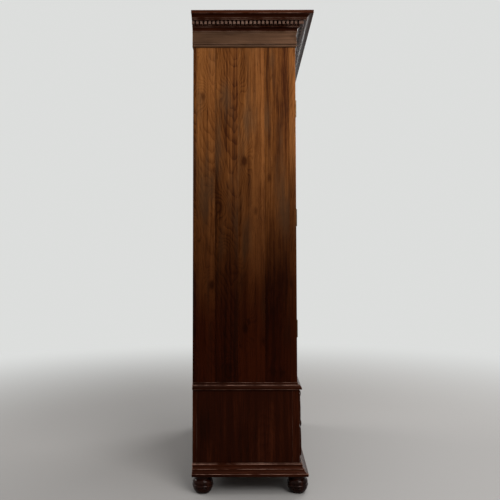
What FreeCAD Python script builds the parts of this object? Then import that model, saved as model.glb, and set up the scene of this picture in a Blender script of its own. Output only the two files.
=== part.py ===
import FreeCAD, Part
import Sketcher
import os
import re

# Tall two-door wardrobe on a base with two long drawers.
# Frame: X across the front, -Y is the front, +Z up, origin under the middle of the outline on the floor.

# Driving dimensions in millimetres. Each goes into the sheet under its own name.
driving = {
    # Carcass outline
    "body_wide": 1067,
    "body_deep": 463,
    "foot_high": 75,
    "plinth_high": 52,
    "base_high": 314,
    "waist_high": 30,
    "upper_high": 1532,
    "frieze_high": 73,
    "dentil_high": 39,
    "crown_high": 32,
    "base_step": 8,
    "base_set": 1,
    "cornice_over": 3.5,
    # Mouldings: how far each stands out of the face behind it, and how far it goes in
    "plinth_reach": 35.5,
    "plinth_inset": 20,
    "waist_reach": 19.5,
    "frieze_reach": 9,
    "cornice_inset": 24,
    "dentil_reach": 36,
    "dentil_back_reach": 20,
    "dentil_bed_high": 23,
    "dentil_tooth": 11,
    "dentil_pitch": 18.3,
    "crown_reach": 77.5,
    "crown_inset": 6,
    "cornice_back_thick": 18,
    "cornice_board_thick": 12,
    # Feet and the blocks above them
    "foot_radius": 46.5,
    "foot_set": 45.5,
    "block_wide": 70,
    "plinth_back_thick": 20,
    # Upper carcass
    "post_wide": 45,
    "post_deep": 30,
    "post_round": 4,
    "side_thick": 18,
    "seam": 0.8,
    "back_frame_thick": 15,
    "back_frame_wide": 60,
    "back_board_thick": 9,
    "top_thick": 20,
    "head_rail_high": 40,
    "head_rail_deep": 45,
    # Base
    "base_post_deep": 31,
    "base_back_post_deep": 19,
    "base_back_thick": 10,
    "base_floor_thick": 6,
    "base_top_thick": 20,
    "base_rail_deep": 45,
    "base_rail_low_high": 12,
    "base_rail_mid_high": 14,
    "base_rail_top_high": 26,
    "lower_drawer_high": 129,
    "runner_thick": 16,
    "runner_reach": 47,
    "guide_high": 14,
    # Shelf and hanging rail
    "shelf_thick": 18,
    "shelf_drop": 190,
    "shelf_set": 70,
    "bearer_high": 28,
    "bearer_thick": 18,
    "rail_radius": 14,
    "rail_drop": 70,
    "socket_radius": 22,
    "socket_deep": 14,
    "socket_floor": 3,
    # Doors
    "door_gap": 2.5,
    "door_set": 2,
    "door_thick": 24,
    "stile_wide": 75,
    "door_top_rail": 80,
    "door_mid_rail": 90,
    "door_low_rail": 105,
    "mid_rail_up": 560,
    "panel_thick": 14,
    "panel_slope_wide": 34,
    "panel_slope_deep": 6,
    "panel_set": 7,
    # Hinges
    "leaf_thick": 1.2,
    "leaf_wide": 22,
    "leaf_high": 76,
    "knuckle_radius": 3.2,
    "pin_radius": 1.6,
    "pin_head": 2,
    "hinge_inset": 190,
    # Door knobs and drawer knobs
    "knob_radius": 17,
    "knob_out": 27,
    "drawer_knob_radius": 19,
    "drawer_knob_out": 25,
    "drawer_knob_apart": 380,
    "door_knob_up": 700,
    "door_knob_in": 40,
    # Lock, key and keeper
    "lock_up": 640,
    "lock_wide": 46,
    "lock_high": 62,
    "lock_thick": 14,
    "lock_wall": 2,
    "lock_bolt_wide": 30,
    "lock_bolt_high": 14,
    "lock_bolt_thick": 7,
    "lock_bolt_rise": 3,
    "lock_fit": 0.4,
    "key_in": 28,
    "key_drop": 10,
    "key_shank_radius": 2.8,
    "key_hole_radius": 4,
    "key_slot_wide": 3.4,
    "key_bit_reach": 10,
    "key_bit_thick": 2.2,
    "key_bit_wide": 6,
    "key_bow_radius": 12,
    "key_bow_wire": 2.4,
    "key_out": 14,
    "keeper_wide": 22,
    "keeper_high": 34,
    "escutcheon_wide": 24,
    "escutcheon_high": 52,
    "escutcheon_thick": 1.6,
    # Slide bolts behind the left door
    "bolt_wide": 12,
    "bolt_thick": 5,
    "bolt_long": 130,
    "bolt_in": 36,
    "bolt_travel": 15,
    "bolt_knob_radius": 5,
    "bolt_knob_out": 9,
    "bolt_plate_wide": 34,
    "bolt_plate_thick": 1.5,
    "staple_long": 9,
    "staple_wall": 2.5,
    "bolt_hole_deep": 20,
    # Drawers
    "drawer_gap": 1.5,
    "drawer_back_gap": 48,
    "drawer_side_thick": 12,
    "drawer_back_thick": 10,
    "drawer_bottom_thick": 6,
    "drawer_bottom_up": 10,
    "drawer_side_drop": 18,
    "drawer_front_thick": 14,
    "upper_bulge": 10,
    "lower_bulge": 12.5,
    "bulge_fall": 3.5,
    # Clearances and the overrun of every cut
    "slide_fit": 0.3,
    "turn_fit": 0.05,
    "overrun": 5,
}

# Derived places, as formulas over the driving dimensions.
derived = {
    "half": "body_wide / 2",
    "front": "(crown_reach - body_deep - cornice_over) / 2",
    "back": "front + body_deep",
    "cornice_back": "back + cornice_over",
    "base_half": "half + base_step",
    "base_front": "front - base_step",
    "base_back": "back - base_set",
    "base_z": "foot_high + plinth_high",
    "waist_z": "base_z + base_high",
    "frieze_z": "waist_z + upper_high",
    "dentil_z": "frieze_z + frieze_high",
    "crown_z": "dentil_z + dentil_high",
    "dentil_corner": "dentil_reach - dentil_back_reach + dentil_tooth / 2",
    "floor_z": "waist_z + waist_high",
    "inner_half": "half - side_thick",
    "inner_back": "back - back_frame_thick",
    "base_inner_half": "base_half - side_thick",
    "opening_half": "half - post_wide",
    "head_z": "frieze_z - head_rail_high",
    "door_low": "floor_z + door_gap",
    "door_top": "head_z - door_gap",
    "door_face": "front + door_set",
    "door_rear": "door_face + door_thick",
    "door_near": "door_gap / 2",
    "door_far": "opening_half - door_gap",
    "pin_x": "opening_half - door_gap / 2",
    "pin_y": "front - knuckle_radius - turn_fit * 2",
    "shelf_z": "frieze_z - top_thick - shelf_drop",
    "rail_z": "shelf_z - rail_drop",
    "rail_y": "(front + post_deep + inner_back) / 2",
    "drawer_half": "base_half - post_wide - drawer_gap",
    "lower_open_z": "base_z + base_rail_low_high",
    "lower_runner_thick": "base_rail_low_high - base_floor_thick",
    "mid_rail_z": "lower_open_z + lower_drawer_high",
    "upper_open_z": "mid_rail_z + base_rail_mid_high",
    "top_rail_z": "waist_z - base_rail_top_high",
    "drawer_rear": "base_front + drawer_front_thick",
    "drawer_deep": "base_back - base_back_thick - drawer_back_gap - drawer_rear",
    "lock_z": "floor_z + lock_up",
    "key_x": "door_near + key_in",
    "key_z": "lock_z - key_drop",
    "foot_x": "base_half + plinth_reach - foot_set",
    "foot_front_y": "base_front - plinth_reach + foot_set",
    "foot_back_y": "base_back - foot_set",
}

doc = FreeCAD.newDocument("wardrobe")
vector = FreeCAD.Vector


def fill_sheet(label, rows, formula):
    """Write one row per name: its text, its value or formula, and its alias."""
    sheet = doc.addObject("Spreadsheet::Sheet", label)
    for row, (name, value) in enumerate(rows.items(), 1):
        sheet.set(f"A{row}", name)
        sheet.set(f"B{row}", formula(value))
        sheet.setAlias(f"B{row}", name)
    doc.recompute()
    return sheet


def linked(text):
    """Turn the plain names in a formula into references to the two sheets."""
    def refer(match):
        word = match.group(0)
        if word in driving:
            return "Sizes." + word
        return "Places." + word if word in derived else word
    return re.sub(r"[a-z_]+", refer, text)


sizes = fill_sheet("Sizes", driving, str)
places = fill_sheet("Places", {name: "0" for name in derived}, str)
for row, (name, text) in enumerate(derived.items(), 1):
    places.set(f"B{row}", "=" + linked(text).replace("Places.", ""))
doc.recompute()


def value(text):
    """The present value of a formula over the sheets."""
    return float(sizes.evalExpression(linked(text)))


def bind(thing, rules):
    """Tie properties of a thing to formulas over the sheets."""
    for name, text in rules.items():
        thing.setExpression(name, linked(text))


def mirrored(side, low, size):
    """Low edge of a stretch that starts at low on the right side, or of its mirror image on the left."""
    return low if side == "right" else f"-({low}) - ({size})"


def board(label, xs, ys, zs):
    """A rectangular board from three pairs of low edge and size."""
    piece = doc.addObject("Part::Box", label)
    names = ("Placement.Base.x", "Placement.Base.y", "Placement.Base.z", "Length", "Width", "Height")
    lows_and_sizes = (xs[0], ys[0], zs[0], xs[1], ys[1], zs[1])
    bind(piece, dict(zip(names, lows_and_sizes)))
    return piece


def rod(label, centre, radius, length, direction):
    """A round bar that starts at centre and runs along X, Y or Z."""
    piece = doc.addObject("Part::Cylinder", label)
    piece.Placement.Rotation = FreeCAD.Rotation(vector(0, 0, 1), vector(*direction))
    x, y, z = centre
    bind(piece, {"Placement.Base.x": x, "Placement.Base.y": y, "Placement.Base.z": z,
                 "Radius": radius, "Height": length})
    return piece


def fused(label, pieces):
    joined = doc.addObject("Part::MultiFuse", label)
    joined.Shapes = pieces
    return joined


def cut(label, base, tool):
    cutting = doc.addObject("Part::Cut", label)
    cutting.Base = base
    cutting.Tool = tool
    return cutting


def group(label, pieces):
    """Separate solids that share one node."""
    together = doc.addObject("Part::Compound", label)
    together.Links = pieces
    return together


def origin_part(body, role):
    return [part for part in body.Origin.OriginFeatures if part.Role == role][0]


def outline(body, label, role, offset, points):
    """A closed sketch on an origin plane, lifted off it by offset.

    A point is two formulas, or two formulas and the sagitta share of the arc that leads to it.
    """
    sketch = body.newObject("Sketcher::SketchObject", label)
    sketch.AttachmentSupport = [(origin_part(body, role), "")]
    sketch.MapMode = "FlatFace"
    bind(sketch, {"AttachmentOffset.Base.z": offset})
    spots = [vector(value(point[0]), value(point[1]), 0) for point in points]
    count = len(points)
    starts = []
    for i in range(count):
        here, there = spots[i], spots[(i + 1) % count]
        target = points[(i + 1) % count]
        start = 1
        if len(target) == 3:
            chord = there - here
            sideways = vector(chord.y, -chord.x, 0) * target[2]
            sketch.addGeometry(Part.Arc(here, (here + there) / 2 + sideways, there), False)
            start = 1 if sketch.getPoint(i, 1).distanceToPoint(here) < chord.Length / 2 else 2
        else:
            sketch.addGeometry(Part.LineSegment(here, there), False)
        starts.append(start)
    for i in range(count):
        after = (i + 1) % count
        sketch.addConstraint(Sketcher.Constraint("Coincident", i, 3 - starts[i], after, starts[after]))
    for i, point in enumerate(points):
        for kind, text, spot in (("DistanceX", point[0], spots[i].x), ("DistanceY", point[1], spots[i].y)):
            number = sketch.addConstraint(Sketcher.Constraint(kind, -1, 1, i, starts[i], spot))
            sketch.setExpression(f"Constraints[{number}]", linked(text))
        target = points[(i + 1) % count]
        if len(target) == 3:
            share = abs(target[2])
            chord = spots[(i + 1) % count] - spots[i]
            radius_share = (4 * share * share + 1) / (8 * share)
            number = sketch.addConstraint(Sketcher.Constraint("Radius", i, chord.Length * radius_share))
            run = f"({target[0]} - ({point[0]}))"
            rise = f"({target[1]} - ({point[1]}))"
            length = f"sqrt({run} * {run} + {rise} * {rise}) * {radius_share}"
            sketch.setExpression(f"Constraints[{number}]", linked(length))
    return sketch


def padded(label, role, offset, points, length):
    """A body whose outline is pushed out of its plane by length."""
    body = doc.addObject("PartDesign::Body", label)
    pad = body.newObject("PartDesign::Pad", label + "_pad")
    body_sketch = outline(body, label + "_outline", role, offset, points)
    pad.Profile = body_sketch
    bind(pad, {"Length": length})
    body.Tip = pad
    doc.recompute()
    return body


# Outlines of the mouldings: shares of reach and of height, from the lower inside edge up.
plinth_shares = ((0.9, 0), (1, 0.06, 0.15), (1, 0.25), (0.94, 0.28), (0.54, 0.5, -0.16), (0.54, 0.56),
                 (0.47, 0.58), (0.32, 0.78, -0.16), (0.32, 0.9), (0.24, 0.92), (0.24, 1))
waist_shares = ((0.62, 0), (1, 0.08), (0.95, 0.24), (0.55, 0.62, 0.14), (0.55, 0.7), (0.25, 0.74),
                (0.12, 1, -0.18))
frieze_shares = ((0.2, 0), (0.2, 0.16, 0.42), (0.15, 0.2), (0.6, 0.2), (0.6, 0.27), (0.5, 0.9, -0.07),
                 (0.5, 1, 0.42))
crown_shares = ((0.61, 0), (0.61, 0.2), (0.68, 0.2), (0.95, 0.54, -0.22), (1, 0.56), (1, 1))
dentil_cove_share = 0.38
dentil_start_share = 0.25
dentil_bead_share = 0.13


def mitred_run(label, where, face, half, rear, inset, reach, low, rise, points, tooth_cut):
    """One length of a moulding round the front or one side, mitred at the front corners."""
    if where == "front":
        spots = [(f"{face} - ({point[0]})", point[1]) + tuple(-share for share in point[2:])
                 for point in points]
        start = f"-({half}) - {reach}"
        body = padded(label, "YZ_Plane", start, spots, f"2 * ({half} + {reach})")
    else:
        sign = "" if where == "right" else "-"
        turn = 1 if where == "right" else -1
        spots = []
        for point in points:
            spot = (f"{sign}({half} + {point[0]})", point[1])
            spots.append(spot + (turn * point[2],) if len(point) == 3 else spot)
        body = padded(label, "XZ_Plane", f"-({rear})", spots, f"{rear} - ({face} - {reach})")
    if tooth_cut:
        tooth_cut(body, where)
    inner = f"{inset} + overrun"
    outer = f"{reach} + overrun"
    corners = {"left": "-1", "right": "1"}
    for corner in ("left", "right") if where == "front" else (where,):
        side = corners[corner]
        line = [(f"{side} * ({half} - ({inner}))", f"{face} + {inner}"),
                (f"{side} * ({half} + {outer})", f"{face} - ({outer})")]
        if where == "front":
            line.append((f"{side} * ({half} + {outer})", f"{face} + {inner}"))
        else:
            line.append((f"{side} * ({half} - ({inner}))", f"{face} - ({outer})"))
        sketch = outline(body, f"{label}_{corner}_mitre", "XY_Plane", f"{low} + {rise} + overrun", line)
        doc.recompute()
        whole = body.Shape.Volume
        pocket = body.newObject("PartDesign::Pocket", f"{label}_{corner}_mitre_cut")
        pocket.Profile = sketch
        bind(pocket, {"Length": f"{rise} + 2 * overrun"})
        body.Tip = pocket
        doc.recompute()
        if not body.Shape.Volume < whole:
            raise ValueError(label + " has no mitre")
    return body


def moulding(label, face, half, rear, inset, reach, low, rise, shares, tooth_cut=None):
    """Front, left and right lengths of one moulding."""
    points = [(f"-{inset}", low)]
    for share in shares:
        spot = (f"{share[0]} * {reach}", f"{low} + {share[1]} * {rise}")
        points.append(spot + tuple(share[2:]))
    points.append((f"-{inset}", f"{low} + {rise}"))
    return [mitred_run(f"{label}_{where}", where, face, half, rear, inset, reach, low, rise, points,
                       tooth_cut) for where in ("front", "left", "right")]


def dentil_gaps(body, where):
    """Cut the gaps that leave the teeth standing in one length of the dentil strip."""
    run = "(2 * (half + dentil_reach - dentil_corner) + dentil_tooth)"
    if where != "front":
        run = "(cornice_back - front + dentil_reach - dentil_corner)"
    gaps = f"round({run} / dentil_pitch)"
    gap = body.newObject("PartDesign::SubtractiveBox", f"{body.Label}_gap")
    width = f"{run} / {gaps} - dentil_tooth"
    depth = "dentil_reach - dentil_back_reach + overrun"
    if where == "front":
        rules = {"Placement.Base.x": "-half - dentil_reach + dentil_corner",
                 "Placement.Base.y": "front - dentil_reach - overrun", "Length": width, "Width": depth}
    else:
        outer = mirrored(where, "half + dentil_back_reach", depth)
        rules = {"Placement.Base.x": outer, "Placement.Base.y": "front - dentil_reach + dentil_corner",
                 "Length": depth, "Width": width}
    rules["Placement.Base.z"] = "dentil_z + dentil_bed_high"
    rules["Height"] = "dentil_high - dentil_bed_high + overrun"
    bind(gap, rules)
    doc.recompute()
    whole = body.Shape.Volume
    row = body.newObject("PartDesign::LinearPattern", f"{body.Label}_gaps")
    row.Originals = [gap]
    row.Direction = (origin_part(body, "X_Axis" if where == "front" else "Y_Axis"), [""])
    bind(row, {"Length": f"{run} - {run} / {gaps}", "Occurrences": gaps})
    body.Tip = row
    doc.recompute()
    if not body.Shape.Volume < whole:
        raise ValueError(body.Label + " has no gaps")


def turned(label, x, y, z, points, axis="Z_Axis"):
    """A piece turned on the lathe: points are pairs of radius and height along its axis."""
    body = doc.addObject("PartDesign::Body", label)
    sketch = outline(body, label + "_outline", "XZ_Plane", "0", points)
    spin = body.newObject("PartDesign::Revolution", label + "_turning")
    spin.Profile = sketch
    spin.ReferenceAxis = (origin_part(body, "Z_Axis"), [""])
    body.Tip = spin
    if axis == "Y_Axis":
        body.Placement.Rotation = FreeCAD.Rotation(vector(1, 0, 0), 90)
    bind(body, {"Placement.Base.x": x, "Placement.Base.y": y, "Placement.Base.z": z})
    return body


nodes = []


def keep(piece):
    """List a piece as one of the nodes to be written."""
    nodes.append(piece)
    return piece


sides = ("left", "right")

# Bun feet: shares of the radius and of the height.
foot_shares = ((0.64, 0), (0.7, 0.04), (0.94, 0.33, 0.07), (0.92, 0.35), (0.92, 0.37), (0.97, 0.39),
               (0.97, 0.49, 0.18), (0.95, 0.51), (0.8, 0.8, 0.16), (0.72, 0.84), (0.72, 1))


def bun_foot(label, x, y):
    points = [("0", "0")]
    for share in foot_shares:
        points.append((f"{share[0]} * foot_radius", f"{share[1]} * foot_high") + tuple(share[2:]))
    points.append(("0", "foot_high"))
    return turned(label, x, y, "0", points)


keep(group("bun_feet", [bun_foot("foot_front_left", "-foot_x", "foot_front_y"),
                        bun_foot("foot_front_right", "foot_x", "foot_front_y"),
                        bun_foot("foot_back_left", "-foot_x", "foot_back_y"),
                        bun_foot("foot_back_right", "foot_x", "foot_back_y")]))

# Plinth frame with its back rail and corner blocks.
plinth = moulding("plinth", "base_front", "base_half", "base_back", "plinth_inset", "plinth_reach",
                  "foot_high", "plinth_high", plinth_shares)
plinth_inner = "(base_half - plinth_inset)"
plinth.append(board("plinth_back", (f"-{plinth_inner}", f"2 * {plinth_inner}"),
                    ("base_back - plinth_back_thick", "plinth_back_thick"), ("foot_high", "plinth_high")))
keep(group("plinth_frame", plinth))
blocks = []
for side in sides:
    x_span = (mirrored(side, f"{plinth_inner} - block_wide", "block_wide"), "block_wide")
    blocks.append(board(f"block_front_{side}", x_span, ("base_front + plinth_inset", "block_wide"),
                        ("foot_high", "plinth_high")))
    blocks.append(board(f"block_back_{side}", x_span,
                        ("base_back - plinth_back_thick - block_wide", "block_wide"),
                        ("foot_high", "plinth_high")))
keep(group("plinth_blocks", blocks))

# Base carcass.
base_zs = ("base_z", "base_high")
posts = []
for side in sides:
    post_xs = (mirrored(side, "base_half - post_wide", "post_wide"), "post_wide")
    posts.append(board(f"base_post_front_{side}", post_xs, ("base_front", "base_post_deep"), base_zs))
    posts.append(board(f"base_post_back_{side}", post_xs,
                       ("base_back - base_back_post_deep", "base_back_post_deep"), base_zs))
    side_xs = (mirrored(side, "base_half - side_thick", "side_thick"), "side_thick")
    side_ys = ("base_front + base_post_deep", "base_back - base_back_post_deep - base_front - base_post_deep")
    keep(board(f"base_side_{side}", side_xs, side_ys, base_zs))
keep(group("base_posts", posts))
between_posts = ("-(base_half - post_wide)", "2 * (base_half - post_wide)")
between_sides = ("-base_inner_half", "2 * base_inner_half")
keep(board("base_back", between_posts, ("base_back - base_back_thick", "base_back_thick"), base_zs))
rail_ys = ("base_front", "base_rail_deep")
keep(group("base_rails", [
    board("base_rail_low", between_posts, rail_ys, ("base_z", "base_rail_low_high")),
    board("base_rail_middle", between_posts, rail_ys, ("mid_rail_z", "base_rail_mid_high")),
    board("base_rail_top", between_posts, rail_ys, ("top_rail_z", "base_rail_top_high"))]))
inside_ys = ("base_front + base_rail_deep", "base_back - base_back_post_deep - base_front - base_rail_deep")
keep(board("base_floor", between_sides, inside_ys, ("base_z", "base_floor_thick")))
keep(board("base_top", between_sides, inside_ys, ("waist_z - base_top_thick", "base_top_thick")))
runners = []
guides = []
for side in sides:
    for tier, open_z, thick in (("lower", "lower_open_z", "lower_runner_thick"),
                                ("upper", "upper_open_z", "runner_thick")):
        runner_xs = (mirrored(side, "base_inner_half - runner_reach", "runner_reach"), "runner_reach")
        runners.append(board(f"runner_{tier}_{side}", runner_xs, inside_ys,
                             (f"{open_z} - {thick}", thick)))
        guide_wide = "base_inner_half - drawer_half - slide_fit"
        guide_xs = (mirrored(side, "drawer_half + slide_fit", guide_wide), guide_wide)
        guides.append(board(f"guide_{tier}_{side}", guide_xs, inside_ys, (open_z, "guide_high")))
keep(group("drawer_runners", runners))
keep(group("drawer_guides", guides))
keep(group("waist_moulding", moulding("waist", "front", "half", "back", "0", "waist_reach",
                                      "waist_z", "waist_high", waist_shares)))

# Upper carcass: front posts, boarded sides, framed and boarded back.
upper_zs = ("waist_z", "upper_high")
quarter_share = 0.2071
board_seam_shares = (0, 0.266, 0.553, 0.8, 1)
back_seam_shares = (0, 0.19, 0.36, 0.56, 0.78, 1)


def seamed(label, axis, low, size, share, next_share, face, thick, out, zs):
    """An upright board whose outer edges are eased, so that a fine groove shows between neighbours."""
    near = f"{low} + {share} * ({size})"
    far = f"{low} + {next_share} * ({size})"
    inner = f"{face} - {out} * {thick}"
    eased = f"{face} - {out} * seam"
    corners = [(near, inner), (near, eased), (f"{near} + seam", face), (f"{far} - seam", face),
               (far, eased), (far, inner)]
    if axis == "Y":
        corners = [(across, along) for along, across in corners]
    return padded(label, "XY_Plane", zs[0], corners, zs[1])


front_posts = []
run_ys = ("front + post_deep", "back - back_frame_thick - front - post_deep")
for side in sides:
    sign = "1" if side == "right" else "-1"
    corners = [(f"{sign} * opening_half", "front"), (f"{sign} * (half - post_round)", "front"),
               (f"{sign} * half", "front + post_round", quarter_share if side == "right" else -quarter_share),
               (f"{sign} * half", "front + post_deep"), (f"{sign} * opening_half", "front + post_deep")]
    front_posts.append(padded(f"post_{side}", "XY_Plane", upper_zs[0], corners, upper_zs[1]))
    boards = []
    for number in range(len(board_seam_shares) - 1):
        boards.append(seamed(f"side_board_{side}_{number + 1}", "Y", run_ys[0], run_ys[1],
                             board_seam_shares[number], board_seam_shares[number + 1],
                             f"{sign} * half", "side_thick", sign, upper_zs))
    keep(group(f"side_boards_{side}", boards))
keep(group("front_posts", front_posts))
back_ys = ("inner_back", "back_frame_thick")
back_inner = "(half - back_frame_wide)"
back_rail_xs = (f"-{back_inner}", f"2 * {back_inner}")
keep(group("back_frame", [
    board("back_stile_left", ("-half", "back_frame_wide"), back_ys, upper_zs),
    board("back_stile_right", (back_inner, "back_frame_wide"), back_ys, upper_zs),
    board("back_rail_low", back_rail_xs, back_ys, ("waist_z", "back_frame_wide")),
    board("back_rail_top", back_rail_xs, back_ys, ("frieze_z - back_frame_wide", "back_frame_wide"))]))
back_zs = ("waist_z + back_frame_wide", "upper_high - 2 * back_frame_wide")
keep(group("back_boards", [
    seamed(f"back_board_{number + 1}", "X", back_rail_xs[0], back_rail_xs[1],
           back_seam_shares[number], back_seam_shares[number + 1], "inner_back + back_board_thick",
           "back_board_thick", "1", back_zs) for number in range(len(back_seam_shares) - 1)]))
inner_xs = ("-inner_half", "2 * inner_half")
head_xs = ("-opening_half", "2 * opening_half")
bolt_hole_radius = "sqrt(bolt_wide * bolt_wide + bolt_thick * bolt_thick) / 2 + slide_fit"
floor = fused("floor_whole", [
    board("floor_board", inner_xs, run_ys, ("waist_z", "waist_high")),
    board("floor_nose", head_xs, ("front", "post_deep"), ("waist_z", "waist_high"))])
keep(cut("upper_floor", floor, rod("floor_bolt_hole", (
    "-door_near - bolt_in", "door_rear + bolt_plate_thick + slide_fit + bolt_thick / 2",
    "floor_z - bolt_hole_deep"), bolt_hole_radius, "bolt_hole_deep + overrun", (0, 0, 1))))
keep(board("upper_top", inner_xs, ("front + head_rail_deep", "inner_back - front - head_rail_deep"),
           ("frieze_z - top_thick", "top_thick")))
head = fused("head_whole", [
    board("head_front", head_xs, ("front", "post_deep"), ("head_z", "head_rail_high")),
    board("head_rear", inner_xs, ("front + post_deep", "head_rail_deep - post_deep"),
          ("head_z", "head_rail_high"))])
keep(cut("head_rail", head, rod("head_bolt_hole", (
    "-door_near - bolt_in", "door_rear + bolt_plate_thick + slide_fit + bolt_thick / 2",
    "head_z - overrun"), bolt_hole_radius, "bolt_hole_deep + overrun", (0, 0, 1))))
shelf_ys = ("front + shelf_set", "inner_back - front - shelf_set")
keep(board("hat_shelf", inner_xs, shelf_ys, ("shelf_z", "shelf_thick")))
bearers = []
sockets = []
for side in sides:
    bearer_xs = (mirrored(side, "inner_half - bearer_thick", "bearer_thick"), "bearer_thick")
    bearers.append(board(f"bearer_{side}", bearer_xs, shelf_ys, ("shelf_z - bearer_high", "bearer_high")))
    cup_x = mirrored(side, "inner_half - socket_deep", "socket_deep")
    cup = rod(f"cup_{side}", (cup_x, "rail_y", "rail_z"), "socket_radius", "socket_deep", (1, 0, 0))
    bore_x = mirrored(side, "inner_half - socket_deep - overrun", "socket_deep - socket_floor + overrun")
    bore = rod(f"cup_bore_{side}", (bore_x, "rail_y", "rail_z"), "rail_radius + slide_fit",
               "socket_deep - socket_floor + overrun", (1, 0, 0))
    sockets.append(cut(f"socket_{side}", cup, bore))
keep(group("shelf_bearers", bearers))
keep(group("rail_sockets", sockets))
keep(rod("hanging_rail", ("-(inner_half - socket_floor - slide_fit)", "rail_y", "rail_z"), "rail_radius",
         "2 * (inner_half - socket_floor - slide_fit)", (1, 0, 0)))

# Cornice: hollow frieze, dentil strips, crown, back board and dust board.
frieze = moulding("frieze", "front", "half", "cornice_back", "cornice_inset", "frieze_reach",
                  "frieze_z", "frieze_high", frieze_shares)
cornice_inner = "(half - cornice_inset)"
frieze.append(board("cornice_back_board", (f"-{cornice_inner}", f"2 * {cornice_inner}"),
                    ("cornice_back - cornice_back_thick", "cornice_back_thick"),
                    ("frieze_z", "frieze_high + dentil_high")))
keep(group("frieze", frieze))
start_share = f"{dentil_start_share} * dentil_reach"
dentil_points = [("-cornice_inset", "dentil_z"), (start_share, "dentil_z"),
                 (start_share, f"dentil_z + {dentil_bead_share} * dentil_high"),
                 ("dentil_back_reach", f"dentil_z + {dentil_cove_share} * dentil_high", -0.2),
                 ("dentil_back_reach", "dentil_z + dentil_bed_high"),
                 ("dentil_reach", "dentil_z + dentil_bed_high"), ("dentil_reach", "dentil_z + dentil_high"),
                 ("-cornice_inset", "dentil_z + dentil_high")]
keep(group("dentil_strips", [
    mitred_run(f"dentil_{where}", where, "front", "half", "cornice_back", "cornice_inset", "dentil_reach",
               "dentil_z", "dentil_high", dentil_points, dentil_gaps)
    for where in ("front", "left", "right")]))
keep(group("crown_moulding", moulding("crown", "front", "half", "cornice_back", "crown_inset", "crown_reach",
                                      "crown_z", "crown_high", crown_shares)))
keep(board("cornice_board", ("-(half - crown_inset)", "2 * (half - crown_inset)"),
           ("front + crown_inset", "cornice_back - front - crown_inset"), ("crown_z", "cornice_board_thick")))

# Doors: framed and panelled, hung on three butt hinges each.
door_ys = ("door_face", "door_thick")
door_zs = ("door_low", "door_top - door_low")
rail_size = "door_far - door_near - 2 * stile_wide"
hinge_lows = ("door_low + hinge_inset", "(door_low + door_top - leaf_high) / 2",
              "door_top - hinge_inset - leaf_high")
knuckle_high = "leaf_high / 3"


def fielded_panel(label, xs, zs):
    """A panel whose middle stands up on four sloping margins."""
    face = "door_face + panel_set"
    slab = board(label + "_slab", xs, (f"{face} + panel_slope_deep", "panel_thick - panel_slope_deep"), zs)
    field = doc.addObject("Part::Wedge", label + "_field")
    bind(field, {"Ymin": face, "Ymax": f"{face} + panel_slope_deep",
                 "X2min": xs[0], "X2max": f"{xs[0]} + {xs[1]}",
                 "Xmin": f"{xs[0]} + panel_slope_wide", "Xmax": f"{xs[0]} + {xs[1]} - panel_slope_wide",
                 "Z2min": zs[0], "Z2max": f"{zs[0]} + {zs[1]}",
                 "Zmin": f"{zs[0]} + panel_slope_wide", "Zmax": f"{zs[0]} + {zs[1]} - panel_slope_wide"})
    return fused(label, [slab, field])


def knuckle(label, side, low, high, leaf_shift, pinned):
    """One knuckle of a hinge with the neck that joins it to its leaf."""
    x = mirrored(side, "pin_x", "0")
    barrel = rod(label + "_barrel", (x, "pin_y", low), "knuckle_radius", high, (0, 0, 1))
    neck = board(label + "_neck", (mirrored(side, leaf_shift, "leaf_thick"), "leaf_thick"),
                 ("pin_y", "front - pin_y"), (low, high))
    solid = fused(label + "_solid", [barrel, neck])
    if pinned:
        return solid
    bore = rod(label + "_bore", (x, "pin_y", f"{low} - overrun"), "pin_radius + turn_fit",
               f"{high} + 2 * overrun", (0, 0, 1))
    return cut(label, solid, bore)


def hinge_leaves(side):
    """The frame leaves with their pins, and the door leaves, of one door."""
    frame_leaves = []
    door_leaves = []
    x = mirrored(side, "pin_x", "0")
    frame_x = "opening_half - leaf_thick"
    door_x = "door_far"
    for number, low in enumerate(hinge_lows, 1):
        name = f"hinge_{side}_{number}"
        leaf_ys = ("front", "leaf_wide")
        frame = [board(f"{name}_frame_leaf", (mirrored(side, frame_x, "leaf_thick"), "leaf_thick"), leaf_ys,
                       (low, "leaf_high")),
                 knuckle(f"{name}_low", side, low, f"{knuckle_high} - slide_fit", frame_x, True),
                 knuckle(f"{name}_high", side, f"{low} + 2 * {knuckle_high} + slide_fit",
                         f"{knuckle_high} - slide_fit", frame_x, True),
                 rod(f"{name}_pin", (x, "pin_y", f"{low} - pin_head"), "pin_radius",
                     "leaf_high + 2 * pin_head", (0, 0, 1))]
        frame_leaves.append(fused(f"{name}_frame", frame))
        door = [board(f"{name}_door_leaf", (mirrored(side, door_x, "leaf_thick"), "leaf_thick"), leaf_ys,
                      (low, "leaf_high")),
                knuckle(f"{name}_middle", side, f"{low} + {knuckle_high}", knuckle_high, door_x, False)]
        door_leaves.append(fused(f"{name}_door", door))
    return frame_leaves, door_leaves


# Turned knobs: shares of the radius and of the length.
knob_shares = ((0.34, 0), (0.34, 0.3), (0.62, 0.42, -0.1), (1, 0.68, 0.16), (0.62, 0.93, 0.14),
               (0.3, 1, 0.05))


def knob(label, x, y, z, radius, length):
    points = [("0", "0")]
    for share in knob_shares:
        points.append((f"{share[0]} * {radius}", f"{share[1]} * {length}") + tuple(share[2:]))
    points.append(("0", length))
    return turned(label, x, y, z, points, "Y_Axis")


def keyhole(label, low_y, length):
    """The round hole and slot for the key, as a cutter."""
    hole = rod(label + "_round", ("key_x", low_y, "key_z"), "key_hole_radius", length, (0, 1, 0))
    slot = board(label + "_slot", ("key_x - key_slot_wide / 2", "key_slot_wide"), (low_y, length),
                 ("key_z - key_bit_reach - slide_fit * 2", "key_bit_reach + slide_fit * 2"))
    return fused(label, [hole, slot])


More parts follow.
